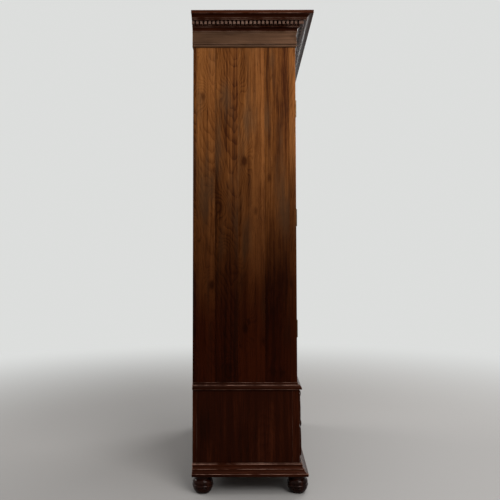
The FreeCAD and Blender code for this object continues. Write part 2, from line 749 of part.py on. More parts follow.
all_frame_leaves = []
for side in sides:
    frame_leaves, door_leaves = hinge_leaves(side)
    all_frame_leaves += frame_leaves
    name = f"door_{side}"
    hinge_stile_xs = (mirrored(side, "door_far - stile_wide", "stile_wide"), "stile_wide")
    meeting_xs = (mirrored(side, "door_near", "stile_wide"), "stile_wide")
    across = (mirrored(side, "door_near + stile_wide", rail_size), rail_size)
    keep(board(f"{name}_hinge_stile", hinge_stile_xs, door_ys, door_zs))
    if side == "right":
        stile = board("door_right_meeting_blank", meeting_xs, door_ys, door_zs)
        keep(cut(f"{name}_meeting_stile", stile, keyhole("stile_keyhole", "door_face - overrun",
                                                         "door_thick + 2 * overrun")))
    else:
        keep(board(f"{name}_meeting_stile", meeting_xs, door_ys, door_zs))
    mid_z = "door_low + mid_rail_up"
    keep(group(f"{name}_rails", [
        board(f"{name}_rail_low", across, door_ys, ("door_low", "door_low_rail")),
        board(f"{name}_rail_middle", across, door_ys, (mid_z, "door_mid_rail")),
        board(f"{name}_rail_top", across, door_ys, ("door_top - door_top_rail", "door_top_rail"))]))
    keep(group(f"{name}_panels", [
        fielded_panel(f"{name}_panel_low", across,
                      ("door_low + door_low_rail", "mid_rail_up - door_low_rail")),
        fielded_panel(f"{name}_panel_high", across,
                      (f"{mid_z} + door_mid_rail",
                       f"door_top - door_top_rail - ({mid_z}) - door_mid_rail"))]))
    keep(group(f"{name}_hinge_leaves", door_leaves))
    knob_x = mirrored(side, "door_near + door_knob_in", "0")
    keep(knob(f"{name}_knob", knob_x, "door_face", "floor_z + door_knob_up", "knob_radius", "knob_out"))
keep(group("frame_hinge_leaves", all_frame_leaves))

# Lock on the right door, with its bolt and key, and the keeper on the left door.
bolt_z = "lock_z + lock_bolt_rise"
case = board("lock_block", ("door_near", "lock_wide"), ("door_rear", "lock_thick"),
             ("lock_z - lock_high / 2", "lock_high"))
channel_low = "door_rear + (lock_thick - lock_bolt_thick) / 2"
channel = board("lock_channel", ("door_near - overrun", "lock_wide + overrun - lock_wall"),
                (f"{channel_low} - lock_fit", "lock_bolt_thick + 2 * lock_fit"),
                (f"{bolt_z} - lock_fit", "lock_bolt_high + 2 * lock_fit"))
chamber = rod("lock_chamber", ("key_x", "door_rear + lock_wall", "key_z"), "key_bit_reach + 2 * lock_fit",
              "lock_thick - 2 * lock_wall", (0, 1, 0))
case_keyhole = keyhole("case_keyhole", "door_rear - overrun", "lock_wall + 2 * overrun")
keep(cut("lock_case", case, fused("lock_inside", [channel, chamber, case_keyhole])))
keep(board("lock_bolt", ("door_near + lock_fit", "lock_bolt_wide"), (channel_low, "lock_bolt_thick"),
           (bolt_z, "lock_bolt_high")))
plate = board("escutcheon_blank", ("key_x - escutcheon_wide / 2", "escutcheon_wide"),
              ("door_face - escutcheon_thick", "escutcheon_thick"),
              ("key_z - escutcheon_high / 2", "escutcheon_high"))
keep(cut("escutcheon", plate, keyhole("plate_keyhole", "door_face - escutcheon_thick - overrun",
                                      "escutcheon_thick + 2 * overrun")))
shank = rod("key_shank", ("key_x", "door_face - key_out", "key_z"), "key_shank_radius",
            "key_out + door_thick + lock_thick - 2 * lock_wall", (0, 1, 0))
bit = board("key_bit", ("key_x - key_bit_thick / 2", "key_bit_thick"),
            ("door_rear + lock_wall + lock_fit", "key_bit_wide"), ("key_z - key_bit_reach", "key_bit_reach"))
bow = doc.addObject("Part::Torus", "key_bow")
bow.Placement.Rotation = FreeCAD.Rotation(vector(0, 1, 0), 90)
bind(bow, {"Placement.Base.x": "key_x", "Placement.Base.z": "key_z",
           "Placement.Base.y": "door_face - key_out - key_bow_radius + key_bow_wire",
           "Radius1": "key_bow_radius - key_bow_wire", "Radius2": "key_bow_wire"})
keep(fused("door_key", [shank, bit, bow]))
keeper = board("keeper_block", ("-door_near - keeper_wide", "keeper_wide"), ("door_rear", "lock_thick"),
               (f"{bolt_z} + lock_bolt_high / 2 - keeper_high / 2", "keeper_high"))
pocket = board("keeper_pocket", ("-door_near - keeper_wide + lock_wall", "keeper_wide - lock_wall + overrun"),
               (f"{channel_low} - lock_fit", "lock_bolt_thick + 2 * lock_fit"),
               (f"{bolt_z} - lock_fit", "lock_bolt_high + 2 * lock_fit"))
keep(cut("lock_keeper", keeper, pocket))

# Slide bolts at the head and foot of the left door.
bolt_x = "-door_near - bolt_in"
bolt_ys = ("door_rear + bolt_plate_thick + slide_fit", "bolt_thick")
plates = []
for end in ("top", "low"):
    along = "bolt_long - bolt_travel"
    if end == "top":
        bolt_low, plate_low = "door_top - slide_fit - bolt_long", f"door_top - slide_fit - ({along})"
    else:
        bolt_low, plate_low = "door_low + slide_fit", "door_low + slide_fit"
    bar = board(f"bolt_{end}_bar", (f"{bolt_x} - bolt_wide / 2", "bolt_wide"), bolt_ys,
                (bolt_low, "bolt_long"))
    grip = rod(f"bolt_{end}_grip", (bolt_x, "door_rear + bolt_plate_thick + slide_fit + bolt_thick / 2",
                                    f"{bolt_low} + bolt_long / 2"), "bolt_knob_radius",
               "bolt_thick / 2 + bolt_knob_out", (0, 1, 0))
    keep(fused(f"bolt_{end}", [bar, grip]))
    backing = board(f"bolt_{end}_plate", (f"{bolt_x} - bolt_plate_wide / 2", "bolt_plate_wide"),
                    ("door_rear", "bolt_plate_thick"), (plate_low, along))
    pieces = [backing]
    for number, staple_z in enumerate((f"{plate_low} + staple_long",
                                       f"{plate_low} + {along} - 2 * staple_long")):
        wide = "(bolt_wide + 2 * slide_fit + 2 * staple_wall)"
        block = board(f"staple_{end}_{number}", (f"{bolt_x} - {wide} / 2", wide),
                      ("door_rear + bolt_plate_thick", "bolt_thick + 2 * slide_fit + staple_wall"),
                      (staple_z, "staple_long"))
        tunnel = board(f"tunnel_{end}_{number}", (f"{bolt_x} - bolt_wide / 2 - slide_fit",
                                                  "bolt_wide + 2 * slide_fit"),
                       ("door_rear + bolt_plate_thick", "bolt_thick + 2 * slide_fit"),
                       (f"{staple_z} - overrun", "staple_long + 2 * overrun"))
        pieces.append(cut(f"staple_{end}_{number}_open", block, tunnel))
    plates.append(fused(f"bolt_{end}_guides", pieces))
keep(group("bolt_plates", plates))

# Drawers: bulged front, two sides, back, bottom and turned knobs.
bulge_sag_share = 0.01
for tier, low, top, bulge in (("upper", "upper_open_z", "top_rail_z", "upper_bulge"),
                              ("lower", "lower_open_z", "mid_rail_z", "lower_bulge")):
    name = f"drawer_{tier}"
    front_low = f"{low} + drawer_gap"
    front_top = f"{top} - drawer_gap"
    outer = f"base_front - {bulge}"
    points = [("drawer_rear", front_low), ("drawer_rear", front_top), ("base_front", front_top),
              (f"{outer} + bulge_fall", f"{front_top} - bulge_fall", 0.15),
              (f"{outer} + bulge_fall / 2", f"{front_low} + bulge_fall", bulge_sag_share),
              ("base_front", front_low, 0.15)]
    keep(padded(f"{name}_front", "YZ_Plane", "-drawer_half", points, "2 * drawer_half"))
    side_high = f"{top} - ({low}) - drawer_side_drop"
    side_z = f"{low} + slide_fit"
    side_ys = ("drawer_rear", "drawer_deep")
    keep(group(f"{name}_sides", [
        board(f"{name}_side_{side}", (mirrored(side, "drawer_half - drawer_side_thick", "drawer_side_thick"),
                                      "drawer_side_thick"), side_ys, (side_z, side_high)) for side in sides]))
    within = ("-(drawer_half - drawer_side_thick)", "2 * (drawer_half - drawer_side_thick)")
    bottom_z = f"{side_z} + drawer_bottom_up"
    keep(board(f"{name}_back", within, ("drawer_rear + drawer_deep - drawer_back_thick", "drawer_back_thick"),
               (bottom_z, f"{side_high} - drawer_bottom_up")))
    keep(board(f"{name}_bottom", within, ("drawer_rear", "drawer_deep - drawer_back_thick"),
               (bottom_z, "drawer_bottom_thick")))
    knob_z = f"({front_low} + {front_top}) / 2"
    face_high = f"({front_top} - ({front_low}) - 2 * bulge_fall)"
    knob_y = f"{outer} + 3 * bulge_fall / 4 - {bulge_sag_share} * {face_high} - slide_fit"
    keep(group(f"{name}_knobs", [
        knob(f"{name}_knob_{side}", mirrored(side, "drawer_knob_apart / 2", "0"), knob_y, knob_z,
             "drawer_knob_radius", "drawer_knob_out") for side in sides]))

doc.recompute()
for thing in doc.Objects:
    if {"Invalid", "Error"} & set(thing.State):
        raise ValueError(f"{thing.Label} failed: {thing.State}")
for node in nodes:
    if node.Shape.isNull() or not node.Shape.isValid() or not node.Shape.Solids:
        raise ValueError(f"{node.Label} has no sound shape")
os.makedirs("parts", exist_ok=True)
for node in nodes:
    node.Shape.exportStep(f"parts/{node.Label}.step")
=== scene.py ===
import math
import random

import bmesh
import bpy
from mathutils import Matrix, Vector


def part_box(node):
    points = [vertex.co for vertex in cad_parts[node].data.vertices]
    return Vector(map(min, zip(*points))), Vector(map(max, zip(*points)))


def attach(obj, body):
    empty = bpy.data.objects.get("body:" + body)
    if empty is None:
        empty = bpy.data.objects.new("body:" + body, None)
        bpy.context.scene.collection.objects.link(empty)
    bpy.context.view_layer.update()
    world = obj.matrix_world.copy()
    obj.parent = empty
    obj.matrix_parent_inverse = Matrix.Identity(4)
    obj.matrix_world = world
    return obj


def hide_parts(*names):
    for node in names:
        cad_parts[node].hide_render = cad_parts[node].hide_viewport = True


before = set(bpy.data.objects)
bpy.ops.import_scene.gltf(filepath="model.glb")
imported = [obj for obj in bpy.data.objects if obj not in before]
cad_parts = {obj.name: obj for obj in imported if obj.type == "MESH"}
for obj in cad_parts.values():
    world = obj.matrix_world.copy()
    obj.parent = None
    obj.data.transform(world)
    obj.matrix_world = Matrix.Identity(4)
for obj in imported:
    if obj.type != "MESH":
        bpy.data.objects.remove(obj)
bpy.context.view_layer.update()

bl_info = {
    "name": "Boarded Wardrobe",
    "version": (1, 0, 0),
    "blender": (4, 5, 0),
    "location": "3D View > Sidebar > Wardrobe",
    "description": "Dresses the packed wardrobe: boards, mouldings, turned work, fittings and finishes",
    "category": "Object",
}

MM = 0.001
MICRONS = 1e6
FLAT_ANGLE = math.radians(1)
FACET_ANGLE = math.radians(20)
EASED_ANGLE = FACET_ANGLE * 1.6
UP, OUTWARD, INWARD = Vector((0, 0, 1)), Vector((0, -1, 0)), Vector((0, 1, 0))

# How near two points count as one: in a CAD mesh, on a lathe's axis and at a cut
MERGE, AXIS_MERGE, CUT_MERGE = 0.01 * MM, 0.005 * MM, 0.001 * MM

# Rounding of the edges of some pieces, and how deep the dentils' outer faces lie that take a painted
# highlight
SIDE_EASE, SHELF_EASE, RAIL_EASE = 0.7 * MM, 1.5 * MM, 1 * MM
FRONT_EASE, BOX_EASE, BEAD_EASE, LEAF_EASE = 0.8 * MM, 0.6 * MM, 0.25 * MM, 0.15 * MM
SHEEN_FACE_DEPTH = 1.5 * MM

# How far behind the rails' face a bead's flat edge lies, and the step beside it
BEAD_SET_BACK, BEAD_STEP = 0.4 * MM, 1.3 * MM

# Slot and finish of the plain pieces
BOARD = ("brown_board", "board_finish")
DARK = ("dark_mahogany", "mahogany_finish")
PINE = ("inside_pine", "pine_finish")
BRASS = ("aged_brass", "brass_finish")
STEEL = ("lock_steel", "steel_finish")

# Screws: a head's outer radius and a slot's length and width are shares of the radius at the face, and the
# slot's depth and middle are shares of how far the head stands proud
HEAD_SHARE = 0.86
SLOT_SHARES = (1.6, 0.24, 0.2)
SLOT_MIDDLE_SHARE = 0.98
PLATE_SCREW_PROUD, PLATE_SCREW_INSET, CASE_SCREW_INSET = 0.8 * MM, 5 * MM, 6 * MM
BOLT_PLATE = 1.5 * MM
PIN_RADIUS, PIN_INSET = 1.5 * MM, 4.5 * MM

# A hinge leaf's thickness, and how far each screw is above the leaf's middle and in front of the deepest two
HINGE_LEAF = 1.2 * MM
LEAF_SCREWS = ((-28 * MM, 0), (0, 4 * MM), (28 * MM, 0))
LEAF_SCREW_RADIUS, LEAF_SCREW_PROUD, LEAF_SCREW_INSET = 2.6 * MM, 0.04 * MM, 8 * MM

# Lamps: name, place, size and power; they all look at one point
LAMPS = (("lamp_over", (-0.8, -0.8, 5.0), 3.4, 120), ("lamp_left", (-3.6, -1.8, 3.3), 2.4, 148),
         ("lamp_right", (3.2, -2.6, 3.3), 2.4, 124), ("lamp_rear", (1.2, 4.0, 3.3), 2.4, 94))
LAMP_TARGET = Vector((0, 0, 1.2))
ROOM_COLOUR, ROOM_STRENGTH = (0.9, 0.92, 1.0, 1), 0.19
FLOOR_RADIUS, FLOOR_FADE = 14, (1.3, 4.2)

# The photograph's camera: picture width, focal length and shift in pixels, place in metres, turns in degrees
PHOTO_PIXELS, FOCAL_PIXELS, SHIFT_PIXELS = 500, 620, 26.5
SENSOR = 36
EYE_BACK, EYE_HEIGHT = 0.0134, 1.0282
CAMERA_TURNS = (93, 0.135, -90)


# Finishes

class Wiring:
    """Adds nodes to a node tree and links them, each new node a little further right."""

    def __init__(self, tree):
        self.tree = tree
        self.column = 0

    def add(self, kind, inputs=None, **settings):
        node = self.tree.nodes.new(kind)
        node.location = (self.column * 190, 0)
        self.column += 1
        for name, setting in settings.items():
            setattr(node, name, setting)
        for name, entry in (inputs or {}).items():
            self.feed(node.inputs[name], entry)
        return node

    def feed(self, socket, entry):
        if isinstance(entry, bpy.types.NodeSocket):
            self.tree.links.new(entry, socket)
        else:
            socket.default_value = entry

    def sum(self, operation, first, second=0.5, third=None, clamp=False):
        node = self.add("ShaderNodeMath", {0: first, 1: second}, operation=operation, use_clamp=clamp)
        if third is not None:
            self.feed(node.inputs[2], third)
        return node.outputs[0]

    def scaled(self, vector, scale):
        return self.add("ShaderNodeVectorMath", {0: vector, 1: scale}, operation="MULTIPLY").outputs[0]

    def noise(self, vector, detail=2.0, rough=0.5):
        node = self.add("ShaderNodeTexNoise", {"Vector": vector, "Scale": 1.0, "Detail": detail,
                                               "Roughness": rough})
        return node.outputs[0]

    def ramp(self, entry, low, high, start=0.0, end=1.0):
        node = self.add("ShaderNodeMapRange", {"Value": entry, "From Min": low, "From Max": high,
                                               "To Min": start, "To Max": end},
                        interpolation_type="SMOOTHSTEP")
        return node.outputs[0]

    def mixed(self, factor, first, second, blend="MIX"):
        node = self.add("ShaderNodeMix", data_type="RGBA", blend_type=blend)
        for number, entry in ((0, factor), (6, first), (7, second)):
            self.feed(node.inputs[number], entry)
        return node.outputs[2]

    def attribute(self, name, kind="Fac"):
        return self.add("ShaderNodeAttribute", attribute_name=name).outputs[kind]

    def swing(self, noise, share, base):
        """Add to base a share of how far a noise is from its middle."""
        return self.sum("MULTIPLY_ADD", self.sum("SUBTRACT", noise, 0.5), share, base)


def fresh_wiring(owner):
    """Turn on the nodes of a material or world and clear them."""
    owner.use_nodes = True
    owner.node_tree.nodes.clear()
    return Wiring(owner.node_tree)


def new_group(name, inputs, outputs):
    """An empty shader node group: inputs are name, socket type and default, outputs are name and type."""
    group = bpy.data.node_groups.new(name, "ShaderNodeTree")
    for label, kind, default in inputs:
        socket = group.interface.new_socket(label, in_out="INPUT", socket_type=kind)
        socket.default_value = default
    for label, kind in outputs:
        group.interface.new_socket(label, in_out="OUTPUT", socket_type=kind)
    wiring = Wiring(group)
    entry = wiring.add("NodeGroupInput")
    leave = wiring.add("NodeGroupOutput")
    return group, wiring, entry.outputs, leave.inputs


def aged_wood_group():
    """Old polished wood: rings cut at a slant, fibres, pores, stains, edges lightened as rubbing and painted
    highlight, and painted shade that darkens it near the floor.
    """
    number, colour = "NodeSocketFloat", "NodeSocketColor"
    group, wire, given, result = new_group(
        "aged_wood",
        [("Dark", colour, (0.05, 0.02, 0.01, 1)), ("Middle", colour, (0.1, 0.05, 0.02, 1)),
         ("Light", colour, (0.2, 0.1, 0.05, 1)), ("Grey", colour, (0.1, 0.07, 0.05, 1)),
         # painted shade: the colour the wood darkens to near the floor, and the heights between which it
         # fades
         ("Low Shade", colour, (0.5, 0.3, 0.3, 1)), ("Low Height", number, 0.4), ("High Height", number, 2.0),
         ("Ring Width", number, 0.009), ("Figure", number, 0.5), ("Streaks", number, 0.5),
         ("Pores", number, 0.5), ("Stains", number, 0.3), ("Knots", number, 0.3),
         # the lighter colour of eased edges: partly rubbed wood, partly painted highlight
         ("Rub And Sheen", colour, (0.3, 0.2, 0.1, 1)),
         ("Edge Wear", number, 0.5), ("Gloss Roughness", number, 0.4)],
        [("Colour", colour), ("Roughness", number), ("Height", number)])
    grain = wire.attribute("grain", "Vector")
    tone = wire.attribute("tone")
    edge = wire.attribute("edge")
    place = wire.add("ShaderNodeTexCoord").outputs["Object"]
    wave = wire.add("ShaderNodeTexNoise", {"Vector": wire.scaled(grain, (7, 7, 1.6)), "Scale": 1.0,
                                           "Detail": 2.0}).outputs["Color"]
    wave = wire.add("ShaderNodeVectorMath", {0: wave, 1: (0.5, 0.5, 0.5)}, operation="SUBTRACT").outputs[0]
    bent = wire.add("ShaderNodeVectorMath", {0: wire.scaled(wave, (0.034, 0.034, 0.0)), 1: grain},
                    operation="ADD").outputs[0]
    parts = wire.add("ShaderNodeSeparateXYZ", {0: bent}).outputs
    lean = wire.sum("MULTIPLY_ADD", parts["Z"], 0.075, parts["X"])
    across = wire.add("ShaderNodeCombineXYZ", {0: lean, 1: parts["Y"], 2: 0.0}).outputs[0]
    radius = wire.add("ShaderNodeVectorMath", {0: across}, operation="LENGTH").outputs["Value"]
    turns = wire.sum("DIVIDE", radius, given["Ring Width"])
    loose = wire.noise(wire.scaled(grain, (30, 30, 5)), detail=1.0)
    turns = wire.sum("MULTIPLY_ADD", loose, 1.6, turns)
    away = wire.add("ShaderNodeTexVoronoi", {"Vector": wire.scaled(bent, (8, 8, 4.5)),
                                             "Scale": 1.0}).outputs[0]
    swirl = wire.sum("MULTIPLY", wire.ramp(away, 0.1, 0.42, 4.0, 0.0), given["Knots"])
    phase = wire.sum("FRACT", wire.sum("ADD", swirl, turns))
    late = wire.sum("POWER", phase, 2.2)
    fall = wire.ramp(phase, 0.9, 1.0, 1.0, 0.0)
    rings = wire.sum("MULTIPLY", late, fall)
    streak = wire.noise(wire.scaled(bent, (85, 85, 1.5)), detail=3.0, rough=0.6)
    fibre = wire.noise(wire.scaled(bent, (480, 480, 9)), detail=2.0, rough=0.6)
    broad = wire.noise(wire.scaled(grain, (9, 9, 2.2)), detail=3.0, rough=0.55)
    curl = wire.noise(wire.scaled(bent, (70, 70, 38)), detail=2.0)
    light = wire.sum("MULTIPLY_ADD", wire.sum("SUBTRACT", 0.35, rings), given["Figure"], 0.5)
    light = wire.swing(streak, wire.sum("MULTIPLY", given["Streaks"], 1.9), light)
    light = wire.swing(fibre, given["Streaks"], light)
    light = wire.swing(broad, 1.3, light)
    light = wire.swing(curl, wire.sum("MULTIPLY", given["Figure"], 0.7), light)
    light = wire.sum("ADD", light, tone)
    paint = wire.mixed(wire.ramp(light, -0.05, 0.55), given["Dark"], given["Middle"])
    paint = wire.mixed(wire.ramp(light, 0.45, 1.1), paint, given["Light"])
    smoke = wire.noise(wire.scaled(grain, (16, 16, 3.1)), detail=3.0)
    paint = wire.mixed(wire.ramp(smoke, 0.47, 0.72, 0.0, 0.72), paint, given["Grey"])
    blots = wire.noise(wire.scaled(grain, (21, 21, 12)), detail=2.0)
    stain = wire.sum("MULTIPLY", wire.ramp(blots, 0.66, 0.78), given["Stains"])
    knot = wire.sum("MULTIPLY", wire.ramp(away, 0.05, 0.15, 1.0, 0.0), given["Knots"])
    paint = wire.mixed(wire.sum("MAXIMUM", stain, knot), paint, given["Dark"])
    pits = wire.noise(wire.scaled(bent, (900, 900, 26)), detail=1.0)
    pores = wire.sum("MULTIPLY", wire.ramp(pits, 0.6, 0.74), given["Pores"])
    paint = wire.mixed(pores, paint, wire.mixed(0.55, given["Dark"], (0.004, 0.002, 0.001, 1)))
    # Eased edges lighten in patches: partly rubbed wood, partly painted highlight along the arrises
    edge_patches = wire.noise(wire.scaled(place, (19, 19, 19)), detail=3.0)
    wear_and_sheen = wire.sum("MULTIPLY", wire.ramp(edge_patches, 0.3, 0.72), wire.sum("MULTIPLY", edge, given["Edge Wear"]))
    paint = wire.mixed(wear_and_sheen, paint, given["Rub And Sheen"])
    # Painted shade: the colour darkens towards the floor, from the low height up to the high height
    height = wire.add("ShaderNodeSeparateXYZ", {0: place}).outputs["Z"]
    height = wire.swing(broad, 0.38, height)
    raised = wire.sum("POWER", wire.ramp(height, given["Low Height"], given["High Height"]), 1.5)
    shade = wire.mixed(raised, given["Low Shade"], (1, 1, 1, 1))
    wire.feed(result["Colour"], wire.mixed(1.0, paint, shade, blend="MULTIPLY"))
    dull = wire.noise(wire.scaled(place, (6, 6, 6)), detail=3.0)
    rough = wire.swing(dull, 0.28, given["Gloss Roughness"])
    rough = wire.sum("MULTIPLY_ADD", pores, 0.2, rough)
    wire.feed(result["Roughness"], wire.sum("MULTIPLY_ADD", wear_and_sheen, 0.1, rough, clamp=True))
    relief = wire.sum("MULTIPLY_ADD", streak, 0.5, wire.sum("MULTIPLY", fibre, 0.35))
    relief = wire.sum("MULTIPLY_ADD", rings, -0.25, relief)
    wire.feed(result["Height"], wire.sum("MULTIPLY_ADD", pores, -0.8, relief))
    return group


def aged_metal_group():
    """Old metal: tarnish in clouds, grime in the hollows of the noise, fine scratches, bright edges."""
    number, colour = "NodeSocketFloat", "NodeSocketColor"
    group, wire, given, result = new_group(
        "aged_metal",
        [("Clean", colour, (0.6, 0.45, 0.2, 1)), ("Tarnished", colour, (0.2, 0.13, 0.06, 1)),
         ("Grime", colour, (0.02, 0.015, 0.01, 1)), ("Tarnish", number, 0.5), ("Edge Shine", number, 0.6)],
        [("Colour", colour), ("Roughness", number), ("Metal", number), ("Height", number)])
    edge = wire.attribute("edge")
    place = wire.add("ShaderNodeTexCoord").outputs["Object"]
    cloud = wire.noise(wire.scaled(place, (55, 55, 55)), detail=4.0, rough=0.6)
    speck = wire.noise(wire.scaled(place, (420, 420, 420)), detail=2.0)
    brush = wire.noise(wire.scaled(place, (2600, 90, 900)), detail=1.0)
    dark = wire.sum("MULTIPLY", wire.ramp(cloud, 0.3, 0.7), given["Tarnish"])
    dark = wire.sum("MULTIPLY_ADD", edge, wire.sum("MULTIPLY", given["Edge Shine"], -0.6), dark, clamp=True)
    paint = wire.mixed(dark, given["Clean"], given["Tarnished"])
    dirt = wire.sum("MULTIPLY", wire.ramp(speck, 0.6, 0.75), 0.55)
    paint = wire.mixed(dirt, paint, given["Grime"])
    wire.feed(result["Colour"], paint)
    rough = wire.sum("MULTIPLY_ADD", dark, 0.3, 0.24)
    rough = wire.sum("MULTIPLY_ADD", brush, 0.08, rough)
    wire.feed(result["Roughness"], wire.sum("MULTIPLY_ADD", dirt, 0.25, rough, clamp=True))
    wire.feed(result["Metal"], wire.sum("MULTIPLY_ADD", dirt, -0.6, 1.0))
    wire.feed(result["Height"], wire.sum("MULTIPLY_ADD", speck, 0.5, wire.sum("MULTIPLY", brush, 0.3)))
    return group


def finish(name, group, inputs, bump, depth, **shader_inputs):
    """A material that takes its colour, roughness and relief from a group, with fixed shader values."""
    material = bpy.data.materials.new(name)
    wire = fresh_wiring(material)
    source = wire.add("ShaderNodeGroup", node_tree=group)
    for label, entry in inputs.items():
        source.inputs[label].default_value = entry
    relief = wire.add("ShaderNodeBump", {"Strength": bump, "Distance": depth,
                                         "Height": source.outputs["Height"]})
    shader = wire.add("ShaderNodeBsdfPrincipled", {
        "Base Color": source.outputs["Colour"], "Roughness": source.outputs["Roughness"],
        "Normal": relief.outputs["Normal"]})
    if "Metal" in source.outputs:
        wire.feed(shader.inputs["Metallic"], source.outputs["Metal"])
    for label, entry in shader_inputs.items():
        shader.inputs[label.replace("_", " ")].default_value = entry
    wire.add("ShaderNodeOutputMaterial", {"Surface": shader.outputs["BSDF"]})
    return material


# Pieces

def solid_ranges(node):
    """Runs of a CAD node's triangles that each close up into one solid."""
    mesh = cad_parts[node].data
    spots = [tuple(round(value * MICRONS) for value in vert.co) for vert in mesh.vertices]
    unmet = set()
    runs = []
    start = 0
    for polygon in mesh.polygons:
        ring = [spots[number] for number in polygon.vertices]
        for here, there in zip(ring, ring[1:] + ring[:1]):
            if (there, here) in unmet:
                unmet.remove((there, here))
            else:
                unmet.add((here, there))
        if not unmet:
            runs.append(range(start, polygon.index + 1))
            start = polygon.index + 1
    if unmet or not runs:
        raise ValueError(node + " doesn't split into closed solids")
    return runs


def extent(corners):
    """The lowest and highest corner of the box round some points."""
    return [Vector([pick(corner[axis] for corner in corners) for axis in range(3)]) for pick in (min, max)]


def spans(node):
    """Lowest and highest corner of each solid of a CAD node."""
    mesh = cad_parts[node].data
    return [extent([mesh.vertices[number].co for index in run for number in mesh.polygons[index].vertices])
            for run in solid_ranges(node)]


def solids(node):
    """A merged copy of each solid of a CAD node, with its flat faces whole."""
    for run in solid_ranges(node):
        part = bmesh.new()
        part.from_mesh(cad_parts[node].data)
        part.faces.ensure_lookup_table()
        spare = [face for face in part.faces if face.index not in run]
        bmesh.ops.delete(part, geom=spare, context="FACES")
        bmesh.ops.remove_doubles(part, verts=part.verts, dist=MERGE)
        bmesh.ops.dissolve_limit(part, angle_limit=FLAT_ANGLE, verts=part.verts, edges=part.edges)
        yield part


def in_order(part):
    """The part again with its points and faces sorted, because spin and extrude vary their order."""
    points = sorted(part.verts, key=lambda vert: vert.co[:])
    rank = {vert: number for number, vert in enumerate(points)}
    rings = []
    for face in part.faces:
        ring = [rank[vert] for vert in face.verts]
        first = ring.index(min(ring))
        rings.append(ring[first:] + ring[:first])
    fresh = bmesh.new()
    copies = [fresh.verts.new(vert.co) for vert in points]
    for ring in sorted(rings):
        fresh.faces.new([copies[number] for number in ring])
    fresh.normal_update()
    part.free()
    return fresh


def placed(name, data):
    """A new object in the scene."""
    thing = bpy.data.objects.new(name, data)
    bpy.context.scene.collection.objects.link(thing)
    return thing


class Piece:
    """One visible piece, gathered from parts that each have their own grain and tone."""

    # Each part is cut at its own place from a trunk: ranges of how far its middle is from the pith, both ways
    # across the grain, and how far along the trunk
    pith_across, pith_deep, pith_along = (0.01, 0.06), (0.035, 0.1), 6

    def __init__(self, name):
        self.name = name
        self.whole = bmesh.new()
        self.dice = random.Random(name)
        self.grain = []
        self.tone = []
        self.edge = []

    def take(self, part, ease=0.0, along=None, tone=0.0, spread=0.07, finish_number=0):
        """Ease a part's sharp edges, note its grain and tone, and add it."""
        eased = set()
        if ease:
            sharp = [edge for edge in part.edges
                     if len(edge.link_faces) == 2 and edge.calc_face_angle(0) > EASED_ANGLE]
            rounded = bmesh.ops.bevel(part, geom=sharp, offset=ease, offset_type="OFFSET", segments=2,
                                      profile=0.5, affect="EDGES", material=-1, clamp_overlap=True)
            eased = set(rounded["faces"])
        corners = [vert.co for vert in part.verts]
        low, high = extent(corners)
        size = high - low
        along = along or "XYZ"[list(size).index(max(size))]
        order = {"X": (1, 2, 0), "Y": (0, 2, 1), "Z": (0, 1, 2)}[along]
        pith = Vector((self.dice.choice((-1, 1)) * self.dice.uniform(*self.pith_across),
                       self.dice.choice((-1, 1)) * self.dice.uniform(*self.pith_deep),
                       self.dice.uniform(-self.pith_along, self.pith_along)))
        shade = tone + self.dice.uniform(-spread, spread)
        middle = (low + high) / 2
        for corner in corners:
            off = corner - middle
            self.grain += [off[order[0]] + pith.x, off[order[1]] + pith.y, off[order[2]] + pith.z]
        self.tone += [shade] * len(corners)
        for face in part.faces:
            face.material_index = finish_number
            self.edge.append(1.0 if face in eased else 0.0)
        mesh = bpy.data.meshes.new("part")
        part.to_mesh(mesh)
        part.free()
        self.whole.from_mesh(mesh)
        bpy.data.meshes.remove(mesh)

    def fit(self, body, slot, finishes, nodes=()):
        """Make the object, let it ride on its body and stand for its CAD nodes."""
        mesh = bpy.data.meshes.new(self.name)
        self.whole.to_mesh(mesh)
        self.whole.free()
        mesh.attributes.new("grain", "FLOAT_VECTOR", "POINT").data.foreach_set("vector", self.grain)
        mesh.attributes.new("tone", "FLOAT", "POINT").data.foreach_set("value", self.tone)
        mesh.attributes.new("edge", "FLOAT", "FACE").data.foreach_set("value", self.edge)
        mesh.shade_smooth()
        mesh.set_sharp_from_angle(angle=FACET_ANGLE)
        for name in finishes:
            mesh.materials.append(bpy.data.materials[name])
        thing = placed(self.name, mesh)
        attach(thing, body)
        if nodes:
            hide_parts(*nodes)
        return thing


def gathered(node, ease, tones=(0.0,), along=None, spread=0.07, name=None):
    """A piece that holds the solids of a CAD node, each with eased edges and its own grain."""
    piece = Piece(name or node + "_dressed")
    for number, part in enumerate(solids(node)):
        piece.take(part, ease, along, tones[number % len(tones)], spread)
    return piece


def dress(node, body, look, ease, tones=(0.0,), along=None, spread=0.07):
    """A piece that stands for one CAD node and needs nothing added; its look is a slot, which is not used,
    and a finish.
    """
    slot, finish_name = look
    return gathered(node, ease, tones, along, spread).fit(body, slot, [finish_name], [node])


def bowed(points, steps=8):
    """Follow a profile whose points are out, up and, where the line to them is bowed, the bow's share."""
    line = []
    for number, point in enumerate(points):
        here, there = Vector(points[number - 1][:2]), Vector(point[:2])
        if len(point) == 3 and number:
            chord = there - here
            side = Vector((chord.y, -chord.x))
            half_turn = 2 * math.atan(2 * point[2])
            radius = 0.5 / math.sin(half_turn)
            for step in range(1, steps):
                turn = half_turn * (2 * step / steps - 1)
                line.append(here + chord * (0.5 + radius * math.sin(turn))
                            + side * radius * (math.cos(turn) - math.cos(half_turn)))
        line.append(there)
    return line


